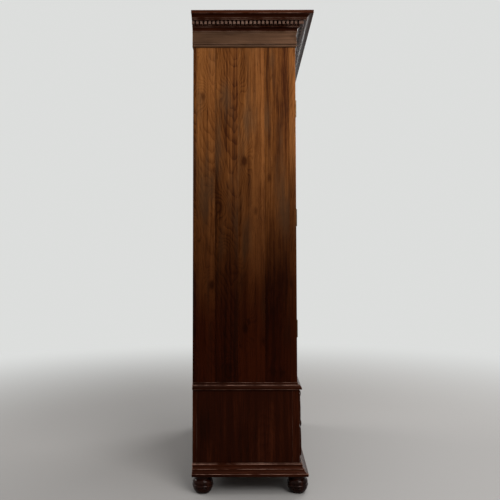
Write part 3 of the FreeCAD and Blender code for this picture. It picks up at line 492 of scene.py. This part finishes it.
def moulded_length(profile, start, end, out, up, cuts):
    """A straight length from start to end: the profile is measured along out and up, cuts trim it."""
    part = bmesh.new()
    rim = [part.verts.new(start + out * point[0] + up * point[1]) for point in profile]
    pushed = bmesh.ops.extrude_face_region(part, geom=[part.faces.new(rim)])["geom"]
    bmesh.ops.translate(part, verts=[item for item in pushed if isinstance(item, bmesh.types.BMVert)],
                        vec=end - start)
    part = in_order(part)
    for at, normal in cuts:
        cut = bmesh.ops.bisect_plane(part, geom=part.verts[:] + part.edges[:] + part.faces[:], dist=CUT_MERGE,
                                     plane_co=at, plane_no=normal, clear_outer=True)["geom_cut"]
        bmesh.ops.edgenet_fill(part, edges=[item for item in cut if isinstance(item, bmesh.types.BMEdge)])
        part = in_order(part)
    bmesh.ops.recalc_face_normals(part, faces=part.faces)
    return in_order(part)


def turned(profile, base, axis, steps=64):
    """A piece turned on the lathe from base along axis: the profile is radius and distance along it."""
    part = bmesh.new()
    across = axis.orthogonal().normalized()
    line = [part.verts.new(base + across * point[0] + axis * point[1]) for point in profile]
    for here, there in zip(line, line[1:]):
        part.edges.new((here, there))
    bmesh.ops.spin(part, geom=part.verts[:] + part.edges[:], cent=base, axis=axis, angle=math.tau,
                   steps=steps, use_merge=True)
    bmesh.ops.remove_doubles(part, verts=part.verts, dist=AXIS_MERGE)
    bmesh.ops.recalc_face_normals(part, faces=part.faces)
    return in_order(part)


def round_the_front(piece, profile, face, half, rear, ease, tone):
    """Front, left and right lengths of a moulding, mitred at the front corners."""
    reach = max(point[0] for point in profile) + MM
    over = Vector((reach, 0, 0))
    left, right = Vector((-half, face, 0)), Vector((half, face, 0))
    mitres = [(left, Vector((-1, 1, 0)).normalized()), (right, Vector((1, 1, 0)).normalized())]
    piece.take(moulded_length(profile, left - over, right + over, OUTWARD, UP, mitres), ease, "X", tone)
    for side, (corner, lean) in zip((-1, 1), mitres):
        start, end = Vector((side * half, rear, 0)), Vector((side * half, face - reach, 0))
        length = moulded_length(profile, start, end, Vector((side, 0, 0)), UP, [(corner, -lean)])
        piece.take(length, ease, "Y", tone)


def shares_to_line(shares, reach, low, high, inset):
    """A moulding's profile in metres, from shares of its reach and its height."""
    points = [(-inset, low)]
    points += [(share[0] * reach, low + share[1] * (high - low)) + tuple(share[2:]) for share in shares]
    points.append((-inset, high))
    return bowed(points)


def scaled_profile(shares, radius, length):
    """A turned piece's profile in metres, from shares of its radius and its length."""
    return bowed([(share[0] * radius, share[1] * length) + tuple(share[2:]) for share in shares])


def turned_knobs(node, body):
    """Turned knobs that stand out of a front, one for each solid of a CAD node."""
    knobs = Piece(node + "_turned")
    for low, high in spans(node):
        line = scaled_profile(KNOB_SHARES, (high.x - low.x) / 2, high.y - low.y)
        middle = (low + high) / 2
        base = Vector((middle.x, high.y, middle.z))
        knobs.take(turned(line, base, OUTWARD, KNOB_STEPS), along="Y", tone=0.1)
    knobs.fit(body, "dark_mahogany", ["turned_finish"], [node])


def screw(piece, at, out, radius, proud, turn):
    """A slotted screw head that stands proud of a face, turned by its own angle."""
    facing = Matrix.Translation(at) @ out.to_track_quat("Z", "Y").to_matrix().to_4x4()
    spin = facing @ Matrix.Rotation(turn, 4, "Z")
    head = bmesh.new()
    bmesh.ops.create_cone(head, cap_ends=True, segments=20, radius1=radius, radius2=radius * HEAD_SHARE,
                          depth=proud, matrix=spin @ Matrix.Translation((0, 0, proud / 2)))
    piece.take(head)
    groove = bmesh.new()
    long, wide, deep = SLOT_SHARES
    shape = Matrix.Diagonal((radius * long, radius * wide, proud * deep, 1))
    sunk = Matrix.Translation((0, 0, proud * SLOT_MIDDLE_SHARE))
    bmesh.ops.create_cube(groove, size=1.0, matrix=spin @ sunk @ shape)
    piece.take(groove, finish_number=1)


def corner_screws(piece, low, high, face, inset, radius, turns):
    """Four screws in a plate on the inside of a door, each turned by an angle that follows its place."""
    for x in (low.x + inset, high.x - inset):
        for z in (low.z + inset, high.z - inset):
            screw(piece, Vector((x, face, z)), INWARD, radius, PLATE_SCREW_PROUD, x * turns[0] + z * turns[1])


# Settings

def tint(label, words, colour):
    return bpy.props.FloatVectorProperty(name=label, description=words, default=colour, size=3, min=0, max=1,
                                         subtype="COLOR")


def measure(label, words, usual, low, high):
    return bpy.props.FloatProperty(name=label, description=words, default=usual, min=low, max=high,
                                   unit="LENGTH", precision=5)


class WardrobeColours(bpy.types.PropertyGroup):
    board_dark: tint("Board Dark", "Darkest grain of the upper boards", (0.036, 0.0096, 0.0025))
    board_middle: tint("Board Middle", "Main colour of the upper boards", (0.135, 0.045, 0.0105))
    board_light: tint("Board Light", "Golden streaks of the upper boards", (0.245, 0.09, 0.0235))
    board_grey: tint("Board Grey", "Faded patches of the upper boards", (0.08, 0.041, 0.019))
    # Painted shade: the colour the boards darken to towards the waist
    board_painted_shade: tint("Board Low Shade", "Painted shade that darkens the boards towards the waist", (0.095, 0.042, 0.033))
    dark_deep: tint("Mahogany Dark", "Darkest grain of the base and mouldings", (0.006, 0.002, 0.001))
    dark_middle: tint("Mahogany Middle", "Main colour of the base and mouldings", (0.02, 0.0042, 0.0015))
    dark_light: tint("Mahogany Light", "Lighter grain of the base and mouldings", (0.05, 0.012, 0.0045))
    # Partly rubbed wood, partly painted highlight on the moulding arrises
    dark_rub_and_sheen: tint("Mahogany Rub And Sheen", "Rubbed edges and painted highlights of the mouldings", (0.35, 0.21, 0.155))
    frieze_middle: tint("Frieze Middle", "Main colour of the frieze board", (0.08, 0.042, 0.0235))
    pine_middle: tint("Pine Middle", "Main colour of the inside", (0.3, 0.17, 0.08))
    brass_clean: tint("Brass Clean", "Rubbed brass", (0.34, 0.24, 0.11))
    steel_clean: tint("Steel Clean", "Rubbed iron and steel", (0.36, 0.34, 0.31))
    floor: tint("Floor", "Colour of the floor", (0.28, 0.268, 0.255))
    backdrop: tint("Backdrop", "Colour behind the wardrobe", (0.72, 0.73, 0.72))


class WardrobeSizes(bpy.types.PropertyGroup):
    board_ease: measure("Board Edge", "Rounding of the edges of boards", 0.9 * MM, 0.1 * MM, 3 * MM)
    moulding_ease: measure("Moulding Edge", "Rounding of moulding arrises", 0.9 * MM, 0.1 * MM, 2 * MM)
    metal_ease: measure("Metal Edge", "Rounding of the edges of fittings", 0.25 * MM, 0.05 * MM, 1 * MM)
    bead_wide: measure("Panel Bead Width", "Width of the bead round a panel", 11 * MM, 4 * MM, 20 * MM)
    bead_deep: measure("Panel Bead Depth", "From the rails' face to the back of the bead", 12.6 * MM, 5 * MM,
                       20 * MM)
    screw_radius: measure("Screw Radius", "Radius of the screw heads", 2.7 * MM, 1 * MM, 5 * MM)
    board_rings: measure("Ring Width", "Width of a growth ring", 4.2 * MM, 2 * MM, 30 * MM)
    camera_distance: measure("Camera Distance", "From the middle to the camera", 3.303, 1, 20)


# Shares of reach and height for the mouldings, from the lower inside edge up; a third share is the bow of the
# line to that point

PLINTH_SHARES = ((0.9, 0), (1, 0.06, 0.15), (1, 0.25), (0.94, 0.28), (0.54, 0.5, -0.16), (0.54, 0.56),
                 (0.47, 0.58), (0.32, 0.78, -0.16), (0.32, 0.9), (0.24, 0.92), (0.24, 1))
WAIST_SHARES = ((0.62, 0), (1, 0.08), (0.95, 0.24), (0.55, 0.62, 0.14), (0.55, 0.7), (0.25, 0.74),
                (0.12, 1, -0.18))
FRIEZE_SHARES = ((0.33, 0), (0.33, 0.16, 0.42), (0.25, 0.2), (1, 0.2), (1, 0.27), (0.83, 0.9, -0.04),
                 (0.83, 1, 0.42))
CROWN_SHARES = ((0.61, 0), (0.61, 0.2), (0.68, 0.2), (0.95, 0.54, -0.22), (1, 0.56), (1, 1))

# Shares of radius and length for the turned work, from the foot's bottom up and from the front out
FOOT_SHARES = ((0, 0), (0.62, 0), (0.66, 0.012, 0.2), (0.71, 0.05, 0.05), (0.935, 0.32, 0.07),
               (0.93, 0.34, 0.3), (0.91, 0.35), (0.91, 0.365), (0.95, 0.38, 0.2), (0.97, 0.395, 0.1),
               (0.97, 0.485, 0.18), (0.94, 0.505, 0.1), (0.8, 0.8, 0.16), (0.76, 0.82, 0.2), (0.72, 0.83),
               (0.72, 1), (0, 1))
KNOB_SHARES = ((0, 0), (0.5, 0), (0.5, 0.05, 0.3), (0.42, 0.1), (0.34, 0.16, -0.1), (0.36, 0.34, -0.08),
               (0.66, 0.43, -0.1), (0.72, 0.46, 0.3), (1, 0.7, 0.14), (0.66, 0.93, 0.12), (0.58, 0.94),
               (0.3, 1, 0.05), (0, 1))
FOOT_STEPS, KNOB_STEPS = 72, 56


def settings(context):
    return context.scene.wardrobe_colours, context.scene.wardrobe_sizes


def shaded(colour, share=1.0):
    """A colour with its alpha, made darker or lighter by a share."""
    return tuple(value * share for value in colour) + (1.0,)


class WARDROBE_OT_finishes(bpy.types.Operator):
    """Make the wood and metal finishes"""
    bl_idname = "wardrobe.finishes"
    bl_label = "Finishes"

    def execute(self, context):
        colours, sizes = settings(context)
        self.woods(colours, sizes)
        self.metals(colours)
        return {"FINISHED"}

    def woods(self, colours, sizes):
        wood = aged_wood_group()
        glow = {"Specular_IOR_Level": 0.07, "Specular_Tint": (1, 0.35, 0.2, 1)}
        board = {
            "Dark": shaded(colours.board_dark), "Middle": shaded(colours.board_middle),
            "Light": shaded(colours.board_light), "Grey": shaded(colours.board_grey),
            # The boards darken towards the waist as painted shade
            "Low Shade": shaded(colours.board_painted_shade), "Low Height": 0.6, "High Height": 1.75,
            "Ring Width": sizes.board_rings, "Figure": 0.36, "Streaks": 0.95, "Pores": 0.6, "Stains": 0.7,
            "Knots": 0.85, "Rub And Sheen": shaded(colours.board_light, 1.1), "Edge Wear": 0.5,
            "Gloss Roughness": 0.45}
        finish("board_finish", wood, board, 0.35, 0.6 * MM, **glow)
        dark = {
            "Dark": shaded(colours.dark_deep), "Middle": shaded(colours.dark_middle),
            "Light": shaded(colours.dark_light), "Grey": shaded(colours.dark_middle, 0.8),
            # The mahogany darkens a little towards the floor as painted shade
            "Low Shade": (0.8, 0.75, 0.75, 1), "Low Height": 0.1, "High Height": 2.0,
            "Ring Width": sizes.board_rings, "Figure": 0.14, "Streaks": 0.8, "Pores": 0.35, "Stains": 0.4,
            "Knots": 0.1, "Rub And Sheen": shaded(colours.dark_rub_and_sheen), "Edge Wear": 0.15, "Gloss Roughness": 0.3}
        finish("mahogany_finish", wood, dark, 0.22, 0.4 * MM, **glow)
        # The mouldings: the mahogany darkened as painted shade of their hollows, with lighter edges at full
        # strength, partly rubbing and partly painted highlight
        moulding = dark | {
            "Middle": shaded(colours.dark_middle, 0.7), "Light": shaded(colours.dark_light, 0.8),
            "Edge Wear": 1.0}
        finish("moulding_finish", wood, moulding, 0.22, 0.4 * MM, **glow)
        lathe = dark | {
            "Middle": shaded(colours.dark_middle, 0.3), "Light": shaded(colours.dark_light, 0.5),
            "Gloss Roughness": 0.14}
        finish("turned_finish", wood, lathe, 0.12, 0.3 * MM, Specular_IOR_Level=0.1,
               Specular_Tint=(1, 0.8, 0.75, 1))
        # The dentils' outer faces: a lighter copy of the mahogany, a painted highlight where the light falls
        # on the teeth
        wear_and_sheen = dark | {
            "Middle": shaded(colours.dark_rub_and_sheen, 0.52), "Light": shaded(colours.dark_rub_and_sheen, 0.82),
            "Rub And Sheen": shaded(colours.dark_rub_and_sheen, 0.74), "Edge Wear": 0.6, "Gloss Roughness": 0.42}
        finish("dentil_sheen_finish", wood, wear_and_sheen, 0.3, 0.4 * MM, **glow)
        frieze = dark | {
            "Dark": shaded(colours.frieze_middle, 0.3), "Middle": shaded(colours.frieze_middle),
            "Light": shaded(colours.frieze_middle, 1.9), "Grey": shaded(colours.frieze_middle, 0.8),
            "Low Shade": (1, 1, 1, 1), "Streaks": 0.6, "Edge Wear": 0.5, "Gloss Roughness": 0.38}
        finish("frieze_finish", wood, frieze, 0.25, 0.4 * MM, **glow)
        pine = {
            "Dark": shaded(colours.pine_middle, 0.35), "Middle": shaded(colours.pine_middle),
            "Light": shaded(colours.pine_middle, 1.6), "Grey": shaded(colours.pine_middle, 0.6),
            # The pine darkens towards the floor as painted shade
            "Low Shade": (0.7, 0.66, 0.62, 1), "Low Height": 0.1, "High Height": 1.4, "Ring Width": 0.011,
            "Figure": 0.55, "Streaks": 0.4, "Pores": 0.15, "Stains": 0.5, "Knots": 0.8,
            "Rub And Sheen": shaded(colours.pine_middle, 1.4), "Edge Wear": 0.4, "Gloss Roughness": 0.62}
        finish("pine_finish", wood, pine, 0.25, 0.5 * MM, Specular_IOR_Level=0.3)

    def metals(self, colours):
        metal = aged_metal_group()
        brass, steel = colours.brass_clean, colours.steel_clean
        for name, clean, tarnished, grime, tarnish, shine, bump in (
                ("brass_finish", shaded(brass), shaded(brass, 0.3), (0.015, 0.011, 0.007, 1), 0.8, 0.9, 0.15),
                ("dull_brass_finish", shaded(brass, 0.3), shaded(brass, 0.12), (0.01, 0.008, 0.006, 1), 0.8,
                 0.5, 0.15),
                ("steel_finish", shaded(steel), shaded(steel, 0.35), (0.03, 0.016, 0.009, 1), 0.75, 0.8, 0.2),
                ("slot_finish", (0.012, 0.01, 0.008, 1), (0.006, 0.005, 0.004, 1), (0.004, 0.003, 0.002, 1),
                 0.9, 0.0, 0.2)):
            look = {"Clean": clean, "Tarnished": tarnished, "Grime": grime, "Tarnish": tarnish,
                    "Edge Shine": shine}
            finish(name, metal, look, bump, 0.1 * MM)


class WARDROBE_OT_cornice(bpy.types.Operator):
    """Model the frieze, dentil strips, crown moulding and dust board"""
    bl_idname = "wardrobe.cornice"
    bl_label = "Cornice"

    def execute(self, context):
        sizes = context.scene.wardrobe_sizes
        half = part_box("side_boards_right")[1].x
        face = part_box("front_posts")[0].y
        low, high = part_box("frieze")
        inner_half = spans("frieze")[-1][1].x
        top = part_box("dentil_strips")[0].z
        frieze = Piece("frieze_board")
        line = shares_to_line(FRIEZE_SHARES, high.x - half, low.z, top, half - inner_half)
        round_the_front(frieze, line, face, half, high.y, sizes.moulding_ease, 0.05)
        frieze.take(list(solids("frieze"))[-1], sizes.board_ease, "X", -0.1)
        frieze.fit("carcass", "dark_mahogany", ["frieze_finish"], ["frieze"])
        strips = gathered("dentil_strips", sizes.moulding_ease, (0.2,), name="dentil_lengths")
        strips = strips.fit("carcass", "dark_mahogany", ["moulding_finish", "dentil_sheen_finish"], ["dentil_strips"])
        low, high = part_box("dentil_strips")
        # The outermost faces of the teeth take the lighter finish, a painted highlight
        for polygon in strips.data.polygons:
            if abs(polygon.center.x) > high.x - SHEEN_FACE_DEPTH or polygon.center.y < low.y + SHEEN_FACE_DEPTH:
                polygon.material_index = 1
        low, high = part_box("crown_moulding")
        crown = Piece("crown_lengths")
        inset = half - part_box("cornice_board")[1].x
        line = shares_to_line(CROWN_SHARES, high.x - half, low.z, high.z, inset)
        round_the_front(crown, line, face, half, high.y, sizes.moulding_ease, 0.4)
        crown.fit("carcass", "dark_mahogany", ["moulding_finish"], ["crown_moulding"])
        dress("cornice_board", "carcass", PINE, sizes.board_ease, (-0.4,))
        return {"FINISHED"}


class WARDROBE_OT_upper(bpy.types.Operator):
    """Model the upper cabinet: boarded sides, posts, back, top, floor, shelf and hanging rail"""
    bl_idname = "wardrobe.upper"
    bl_label = "Upper Cabinet"

    def execute(self, context):
        sizes = context.scene.wardrobe_sizes
        ease = sizes.board_ease
        for node in ("side_boards_left", "side_boards_right"):
            dress(node, "carcass", BOARD, SIDE_EASE, (-0.2, 0.22, -0.14, 0.16), spread=0.02)
        dress("front_posts", "carcass", BOARD, ease, (0.27,), spread=0.03)
        dress("back_frame", "carcass", ("inside_pine", "board_finish"), ease, (-0.35,))
        dress("back_boards", "carcass", PINE, ease)
        dress("upper_floor", "carcass", DARK, ease)
        dress("upper_top", "carcass", PINE, ease)
        dress("head_rail", "carcass", DARK, ease)
        dress("hat_shelf", "carcass", PINE, SHELF_EASE)
        dress("shelf_bearers", "carcass", PINE, ease)
        dress("rail_sockets", "carcass", BRASS, sizes.metal_ease)
        low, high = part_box("hanging_rail")
        middle = (low + high) / 2
        radius = (high.z - low.z) / 2
        length = high.x - low.x
        rail = Piece("hanging_rail_turned")
        line = bowed([(0, 0), (radius - RAIL_EASE, 0), (radius, RAIL_EASE, 0.2), (radius, length - RAIL_EASE),
                      (radius - RAIL_EASE, length, 0.2), (0, length)], 4)
        rail.take(turned(line, Vector((low.x, middle.y, middle.z)), Vector((1, 0, 0))), along="X")
        rail.fit("carcass", "aged_brass", ["brass_finish"], ["hanging_rail"])
        return {"FINISHED"}


class WARDROBE_OT_base(bpy.types.Operator):
    """Model the base carcass with the waist moulding"""
    bl_idname = "wardrobe.base"
    bl_label = "Base"

    def execute(self, context):
        sizes = context.scene.wardrobe_sizes
        ease = sizes.board_ease
        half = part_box("side_boards_right")[1].x
        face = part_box("front_posts")[0].y
        low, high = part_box("waist_moulding")
        waist = Piece("waist_lengths")
        line = shares_to_line(WAIST_SHARES, high.x - half, low.z, high.z, 0.0)
        round_the_front(waist, line, face, half, high.y, sizes.moulding_ease, -0.12)
        waist.fit("carcass", "dark_mahogany", ["moulding_finish"], ["waist_moulding"])
        dress("base_posts", "carcass", DARK, ease, (0.1,))
        for node in ("base_side_left", "base_side_right"):
            dress(node, "carcass", DARK, ease, along="Z")
        dress("base_rails", "carcass", DARK, ease)
        for node in ("base_back", "base_floor", "base_top", "drawer_runners", "drawer_guides"):
            dress(node, "carcass", PINE, ease)
        return {"FINISHED"}


class WARDROBE_OT_plinth(bpy.types.Operator):
    """Model the plinth frame, its blocks and the bun feet"""
    bl_idname = "wardrobe.plinth"
    bl_label = "Plinth and Feet"

    def execute(self, context):
        sizes = context.scene.wardrobe_sizes
        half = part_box("base_posts")[1].x
        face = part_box("base_posts")[0].y
        low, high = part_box("plinth_frame")
        rail = spans("plinth_frame")[-1]
        plinth = Piece("plinth_lengths")
        line = shares_to_line(PLINTH_SHARES, high.x - half, low.z, high.z, half - rail[1].x)
        round_the_front(plinth, line, face, half, high.y, sizes.moulding_ease, 0.1)
        plinth.take(list(solids("plinth_frame"))[-1], sizes.board_ease)
        plinth.fit("carcass", "dark_mahogany", ["moulding_finish"], ["plinth_frame"])
        dress("plinth_blocks", "carcass", PINE, sizes.board_ease)
        feet = Piece("bun_feet_turned")
        for low, high in spans("bun_feet"):
            line = scaled_profile(FOOT_SHARES, (high.x - low.x) / 2, high.z - low.z)
            middle = (low + high) / 2
            feet.take(turned(line, Vector((middle.x, middle.y, low.z)), UP, FOOT_STEPS), along="Z", tone=0.1)
        feet.fit("carcass", "dark_mahogany", ["turned_finish"], ["bun_feet"])
        return {"FINISHED"}


def panel_beads(piece, panel_low, panel_high, face, width, depth):
    """Four mitred beads round the opening of one door panel."""
    line = bowed([(0, depth), (0, BEAD_SET_BACK), (width * 0.22, BEAD_SET_BACK), (width * 0.28, BEAD_STEP),
                  (width * 0.9, depth * 0.62, -0.2), (width, depth * 0.7), (width, depth)], 6)
    corners = [Vector((panel_low.x, face, panel_low.z)), Vector((panel_high.x, face, panel_low.z)),
               Vector((panel_high.x, face, panel_high.z)), Vector((panel_low.x, face, panel_high.z))]
    for number, start in enumerate(corners):
        end = corners[(number + 1) % 4]
        run = (end - start).normalized()
        middle_side = Vector((-run.z, 0, run.x))
        cuts = [(start, -(run - middle_side).normalized()), (end, (run + middle_side).normalized())]
        piece.take(moulded_length(line, start, end, middle_side, INWARD, cuts), BEAD_EASE, tone=-0.05)


class WARDROBE_OT_doors(bpy.types.Operator):
    """Model the two framed doors with their panels, beads and knobs"""
    bl_idname = "wardrobe.doors"
    bl_label = "Doors"

    def execute(self, context):
        sizes = context.scene.wardrobe_sizes
        for name in ("door_left", "door_right"):
            for end, tones, along in (("_hinge_stile", (0.05,), None), ("_meeting_stile", (0.0,), None),
                                      ("_rails", (0.02, -0.05), None), ("_panels", (0.12, 0.18), "Z")):
                dress(name + end, name, BOARD, sizes.board_ease, tones, along)
            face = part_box(name + "_rails")[0].y
            beads = Piece(name + "_panel_beads")
            for low, high in spans(name + "_panels"):
                panel_beads(beads, low, high, face, sizes.bead_wide, sizes.bead_deep)
            beads.fit(name, "dark_mahogany", ["mahogany_finish"])
            turned_knobs(name + "_knob", name)
        return {"FINISHED"}


class WARDROBE_OT_hinges(bpy.types.Operator):
    """Model the butt hinges with their knuckles, pins and screws"""
    bl_idname = "wardrobe.hinges"
    bl_label = "Hinges"

    def execute(self, context):
        opening = min(abs(edge.x) for span in spans("front_posts") for edge in span)
        self.leaves("frame_hinge_leaves", "carcass", opening - HINGE_LEAF, -1)
        for name in ("door_left", "door_right"):
            edge = max(abs(corner.x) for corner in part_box(name + "_hinge_stile"))
            self.leaves(name + "_hinge_leaves", name, edge + HINGE_LEAF, 1)
        return {"FINISHED"}

    def leaves(self, node, body, face, out):
        """Leaves with three flush screws each, on the face that the other leaf closes against."""
        leaves = gathered(node, LEAF_EASE, along="Z")
        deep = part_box(node)[1].y - LEAF_SCREW_INSET
        for low, high in spans(node):
            side = 1 if low.x > 0 else -1
            middle = (low.z + high.z) / 2
            for number, (shift, back) in enumerate(LEAF_SCREWS):
                at = Vector((side * face, deep - back, middle + shift))
                screw(leaves, at, Vector((side * out, 0, 0)), LEAF_SCREW_RADIUS, LEAF_SCREW_PROUD,
                      0.7 + number * 1.1)
        leaves.fit(body, "aged_brass", ["dull_brass_finish", "slot_finish"], [node])


class WARDROBE_OT_lock(bpy.types.Operator):
    """Model the lock, key, escutcheon, keeper and slide bolts"""
    bl_idname = "wardrobe.lock"
    bl_label = "Lock and Bolts"

    def execute(self, context):
        sizes = context.scene.wardrobe_sizes
        ease = sizes.metal_ease
        radius = sizes.screw_radius
        case = gathered("lock_case", ease)
        low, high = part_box("lock_case")
        corner_screws(case, low, high, high.y, CASE_SCREW_INSET, radius, (900, 700))
        case.fit("door_right", "lock_steel", ["steel_finish", "slot_finish"], ["lock_case"])
        dress("lock_bolt", "lock_bolt", STEEL, ease)
        keeper = gathered("lock_keeper", ease)
        low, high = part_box("lock_keeper")
        for z in (low.z + PLATE_SCREW_INSET, high.z - PLATE_SCREW_INSET):
            at = Vector(((low.x + high.x) / 2, high.y, z))
            screw(keeper, at, INWARD, radius, PLATE_SCREW_PROUD, z * 800)
        keeper.fit("door_left", "lock_steel", ["steel_finish", "slot_finish"], ["lock_keeper"])
        self.escutcheon(ease)
        dress("door_key", "door_key", STEEL, ease)
        for node in ("bolt_top", "bolt_low"):
            dress(node, node, BRASS, ease)
        plates = gathered("bolt_plates", ease)
        for low, high in spans("bolt_plates"):
            corner_screws(plates, low, high, low.y + BOLT_PLATE, PLATE_SCREW_INSET, radius, (900, 500))
        plates.fit("door_left", "aged_brass", ["brass_finish", "slot_finish"], ["bolt_plates"])
        return {"FINISHED"}

    def escutcheon(self, ease):
        """The keyhole plate with its two pins."""
        plate = gathered("escutcheon", ease)
        low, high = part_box("escutcheon")
        for z in (low.z + PIN_INSET, high.z - PIN_INSET):
            pin = bmesh.new()
            bmesh.ops.create_uvsphere(pin, u_segments=16, v_segments=10, radius=PIN_RADIUS,
                                      matrix=Matrix.Translation(((low.x + high.x) / 2, low.y, z)))
            plate.take(in_order(pin))
        plate.fit("door_right", "aged_brass", ["brass_finish"], ["escutcheon"])


class WARDROBE_OT_drawers(bpy.types.Operator):
    """Model the two drawers with bulged fronts and turned knobs"""
    bl_idname = "wardrobe.drawers"
    bl_label = "Drawers"

    def execute(self, context):
        for name in ("drawer_upper", "drawer_lower"):
            dress(name + "_front", name, DARK, FRONT_EASE, (0.12,))
            for end in ("_sides", "_back", "_bottom"):
                dress(name + end, name, PINE, BOX_EASE)
            turned_knobs(name + "_knobs", name)
        return {"FINISHED"}


def pale_mask(wire):
    """1 where the camera, a shine or a clear surface looks, so that the pale backdrop lights nothing."""
    path = wire.add("ShaderNodeLightPath").outputs
    indirect = wire.sum("MAXIMUM", path["Is Glossy Ray"], path["Is Transmission Ray"])
    return wire.sum("MAXIMUM", path["Is Camera Ray"], indirect)


class WARDROBE_OT_stage(bpy.types.Operator):
    """Set the floor, the lights and the camera"""
    bl_idname = "wardrobe.stage"
    bl_label = "Stage"

    def execute(self, context):
        colours, sizes = settings(context)
        self.floor(colours)
        self.backdrop(colours)
        self.lamps()
        self.camera(sizes.camera_distance)
        bpy.context.scene.view_settings.view_transform = "Standard"
        return {"FINISHED"}

    def lamps(self):
        for name, at, size, power in LAMPS:
            lamp = bpy.data.lights.new(name, "AREA")
            lamp.energy = power
            lamp.size = size
            holder = placed(name, lamp)
            holder.location = at
            holder.rotation_euler = (LAMP_TARGET - Vector(at)).to_track_quat("-Z", "Y").to_euler()

    def camera(self, distance):
        camera = bpy.data.cameras.new("camera")
        camera.sensor_width = SENSOR
        camera.lens = FOCAL_PIXELS / PHOTO_PIXELS * SENSOR
        camera.shift_y = -SHIFT_PIXELS / PHOTO_PIXELS
        eye = placed("camera", camera)
        eye.location = (-distance, EYE_BACK, EYE_HEIGHT)
        eye.rotation_euler = [math.radians(turn) for turn in CAMERA_TURNS]
        bpy.context.scene.camera = eye

    def floor(self, colours):
        mesh = bpy.data.meshes.new("floor")
        disc = bmesh.new()
        bmesh.ops.create_circle(disc, cap_ends=True, segments=96, radius=FLOOR_RADIUS)
        disc.to_mesh(mesh)
        disc.free()
        floor = placed("floor", mesh)
        material = bpy.data.materials.new("pale_floor")
        wire = fresh_wiring(material)
        place = wire.add("ShaderNodeTexCoord").outputs["Object"]
        away = wire.add("ShaderNodeVectorMath", {0: place}, operation="LENGTH").outputs["Value"]
        far = wire.sum("MULTIPLY", wire.ramp(away, *FLOOR_FADE), pale_mask(wire))
        paint = wire.add("ShaderNodeBsdfPrincipled", {"Base Color": shaded(colours.floor), "Roughness": 0.7})
        glow = wire.add("ShaderNodeEmission", {"Color": shaded(colours.backdrop), "Strength": 1.0})
        both = wire.add("ShaderNodeMixShader", {0: far, 1: paint.outputs[0], 2: glow.outputs[0]})
        wire.add("ShaderNodeOutputMaterial", {"Surface": both.outputs[0]})
        mesh.materials.append(material)

    def backdrop(self, colours):
        world = bpy.data.worlds.new("soft_room")
        bpy.context.scene.world = world
        wire = fresh_wiring(world)
        room = wire.add("ShaderNodeBackground", {"Color": ROOM_COLOUR, "Strength": ROOM_STRENGTH})
        wall = wire.add("ShaderNodeBackground", {"Color": shaded(colours.backdrop), "Strength": 1.0})
        both = wire.add("ShaderNodeMixShader", {0: pale_mask(wire), 1: room.outputs[0], 2: wall.outputs[0]})
        wire.add("ShaderNodeOutputWorld", {"Surface": both.outputs[0]})


OPERATORS = (WARDROBE_OT_finishes, WARDROBE_OT_cornice, WARDROBE_OT_upper, WARDROBE_OT_base,
             WARDROBE_OT_plinth, WARDROBE_OT_doors, WARDROBE_OT_hinges, WARDROBE_OT_lock,
             WARDROBE_OT_drawers, WARDROBE_OT_stage)


class WARDROBE_PT_workshop(bpy.types.Panel):
    """Lists the steps that dress the wardrobe"""
    bl_idname = "WARDROBE_PT_workshop"
    bl_label = "Wardrobe"
    bl_space_type = "VIEW_3D"
    bl_region_type = "UI"
    bl_category = "Wardrobe"

    def draw(self, context):
        colours, sizes = settings(context)
        for group in (sizes, colours):
            box = self.layout.box()
            for name in group.__annotations__:
                box.prop(group, name)
        for step in OPERATORS:
            self.layout.operator(step.bl_idname)


CLASSES = (WardrobeColours, WardrobeSizes) + OPERATORS + (WARDROBE_PT_workshop,)


def register():
    for part in CLASSES:
        bpy.utils.register_class(part)
    bpy.types.Scene.wardrobe_colours = bpy.props.PointerProperty(type=WardrobeColours)
    bpy.types.Scene.wardrobe_sizes = bpy.props.PointerProperty(type=WardrobeSizes)


def unregister():
    del bpy.types.Scene.wardrobe_sizes
    del bpy.types.Scene.wardrobe_colours
    for part in reversed(CLASSES):
        bpy.utils.unregister_class(part)


def main():
    register()
    for step in OPERATORS:
        family, name = step.bl_idname.split(".")
        getattr(getattr(bpy.ops, family), name)()


if __name__ == "__main__":
    main()
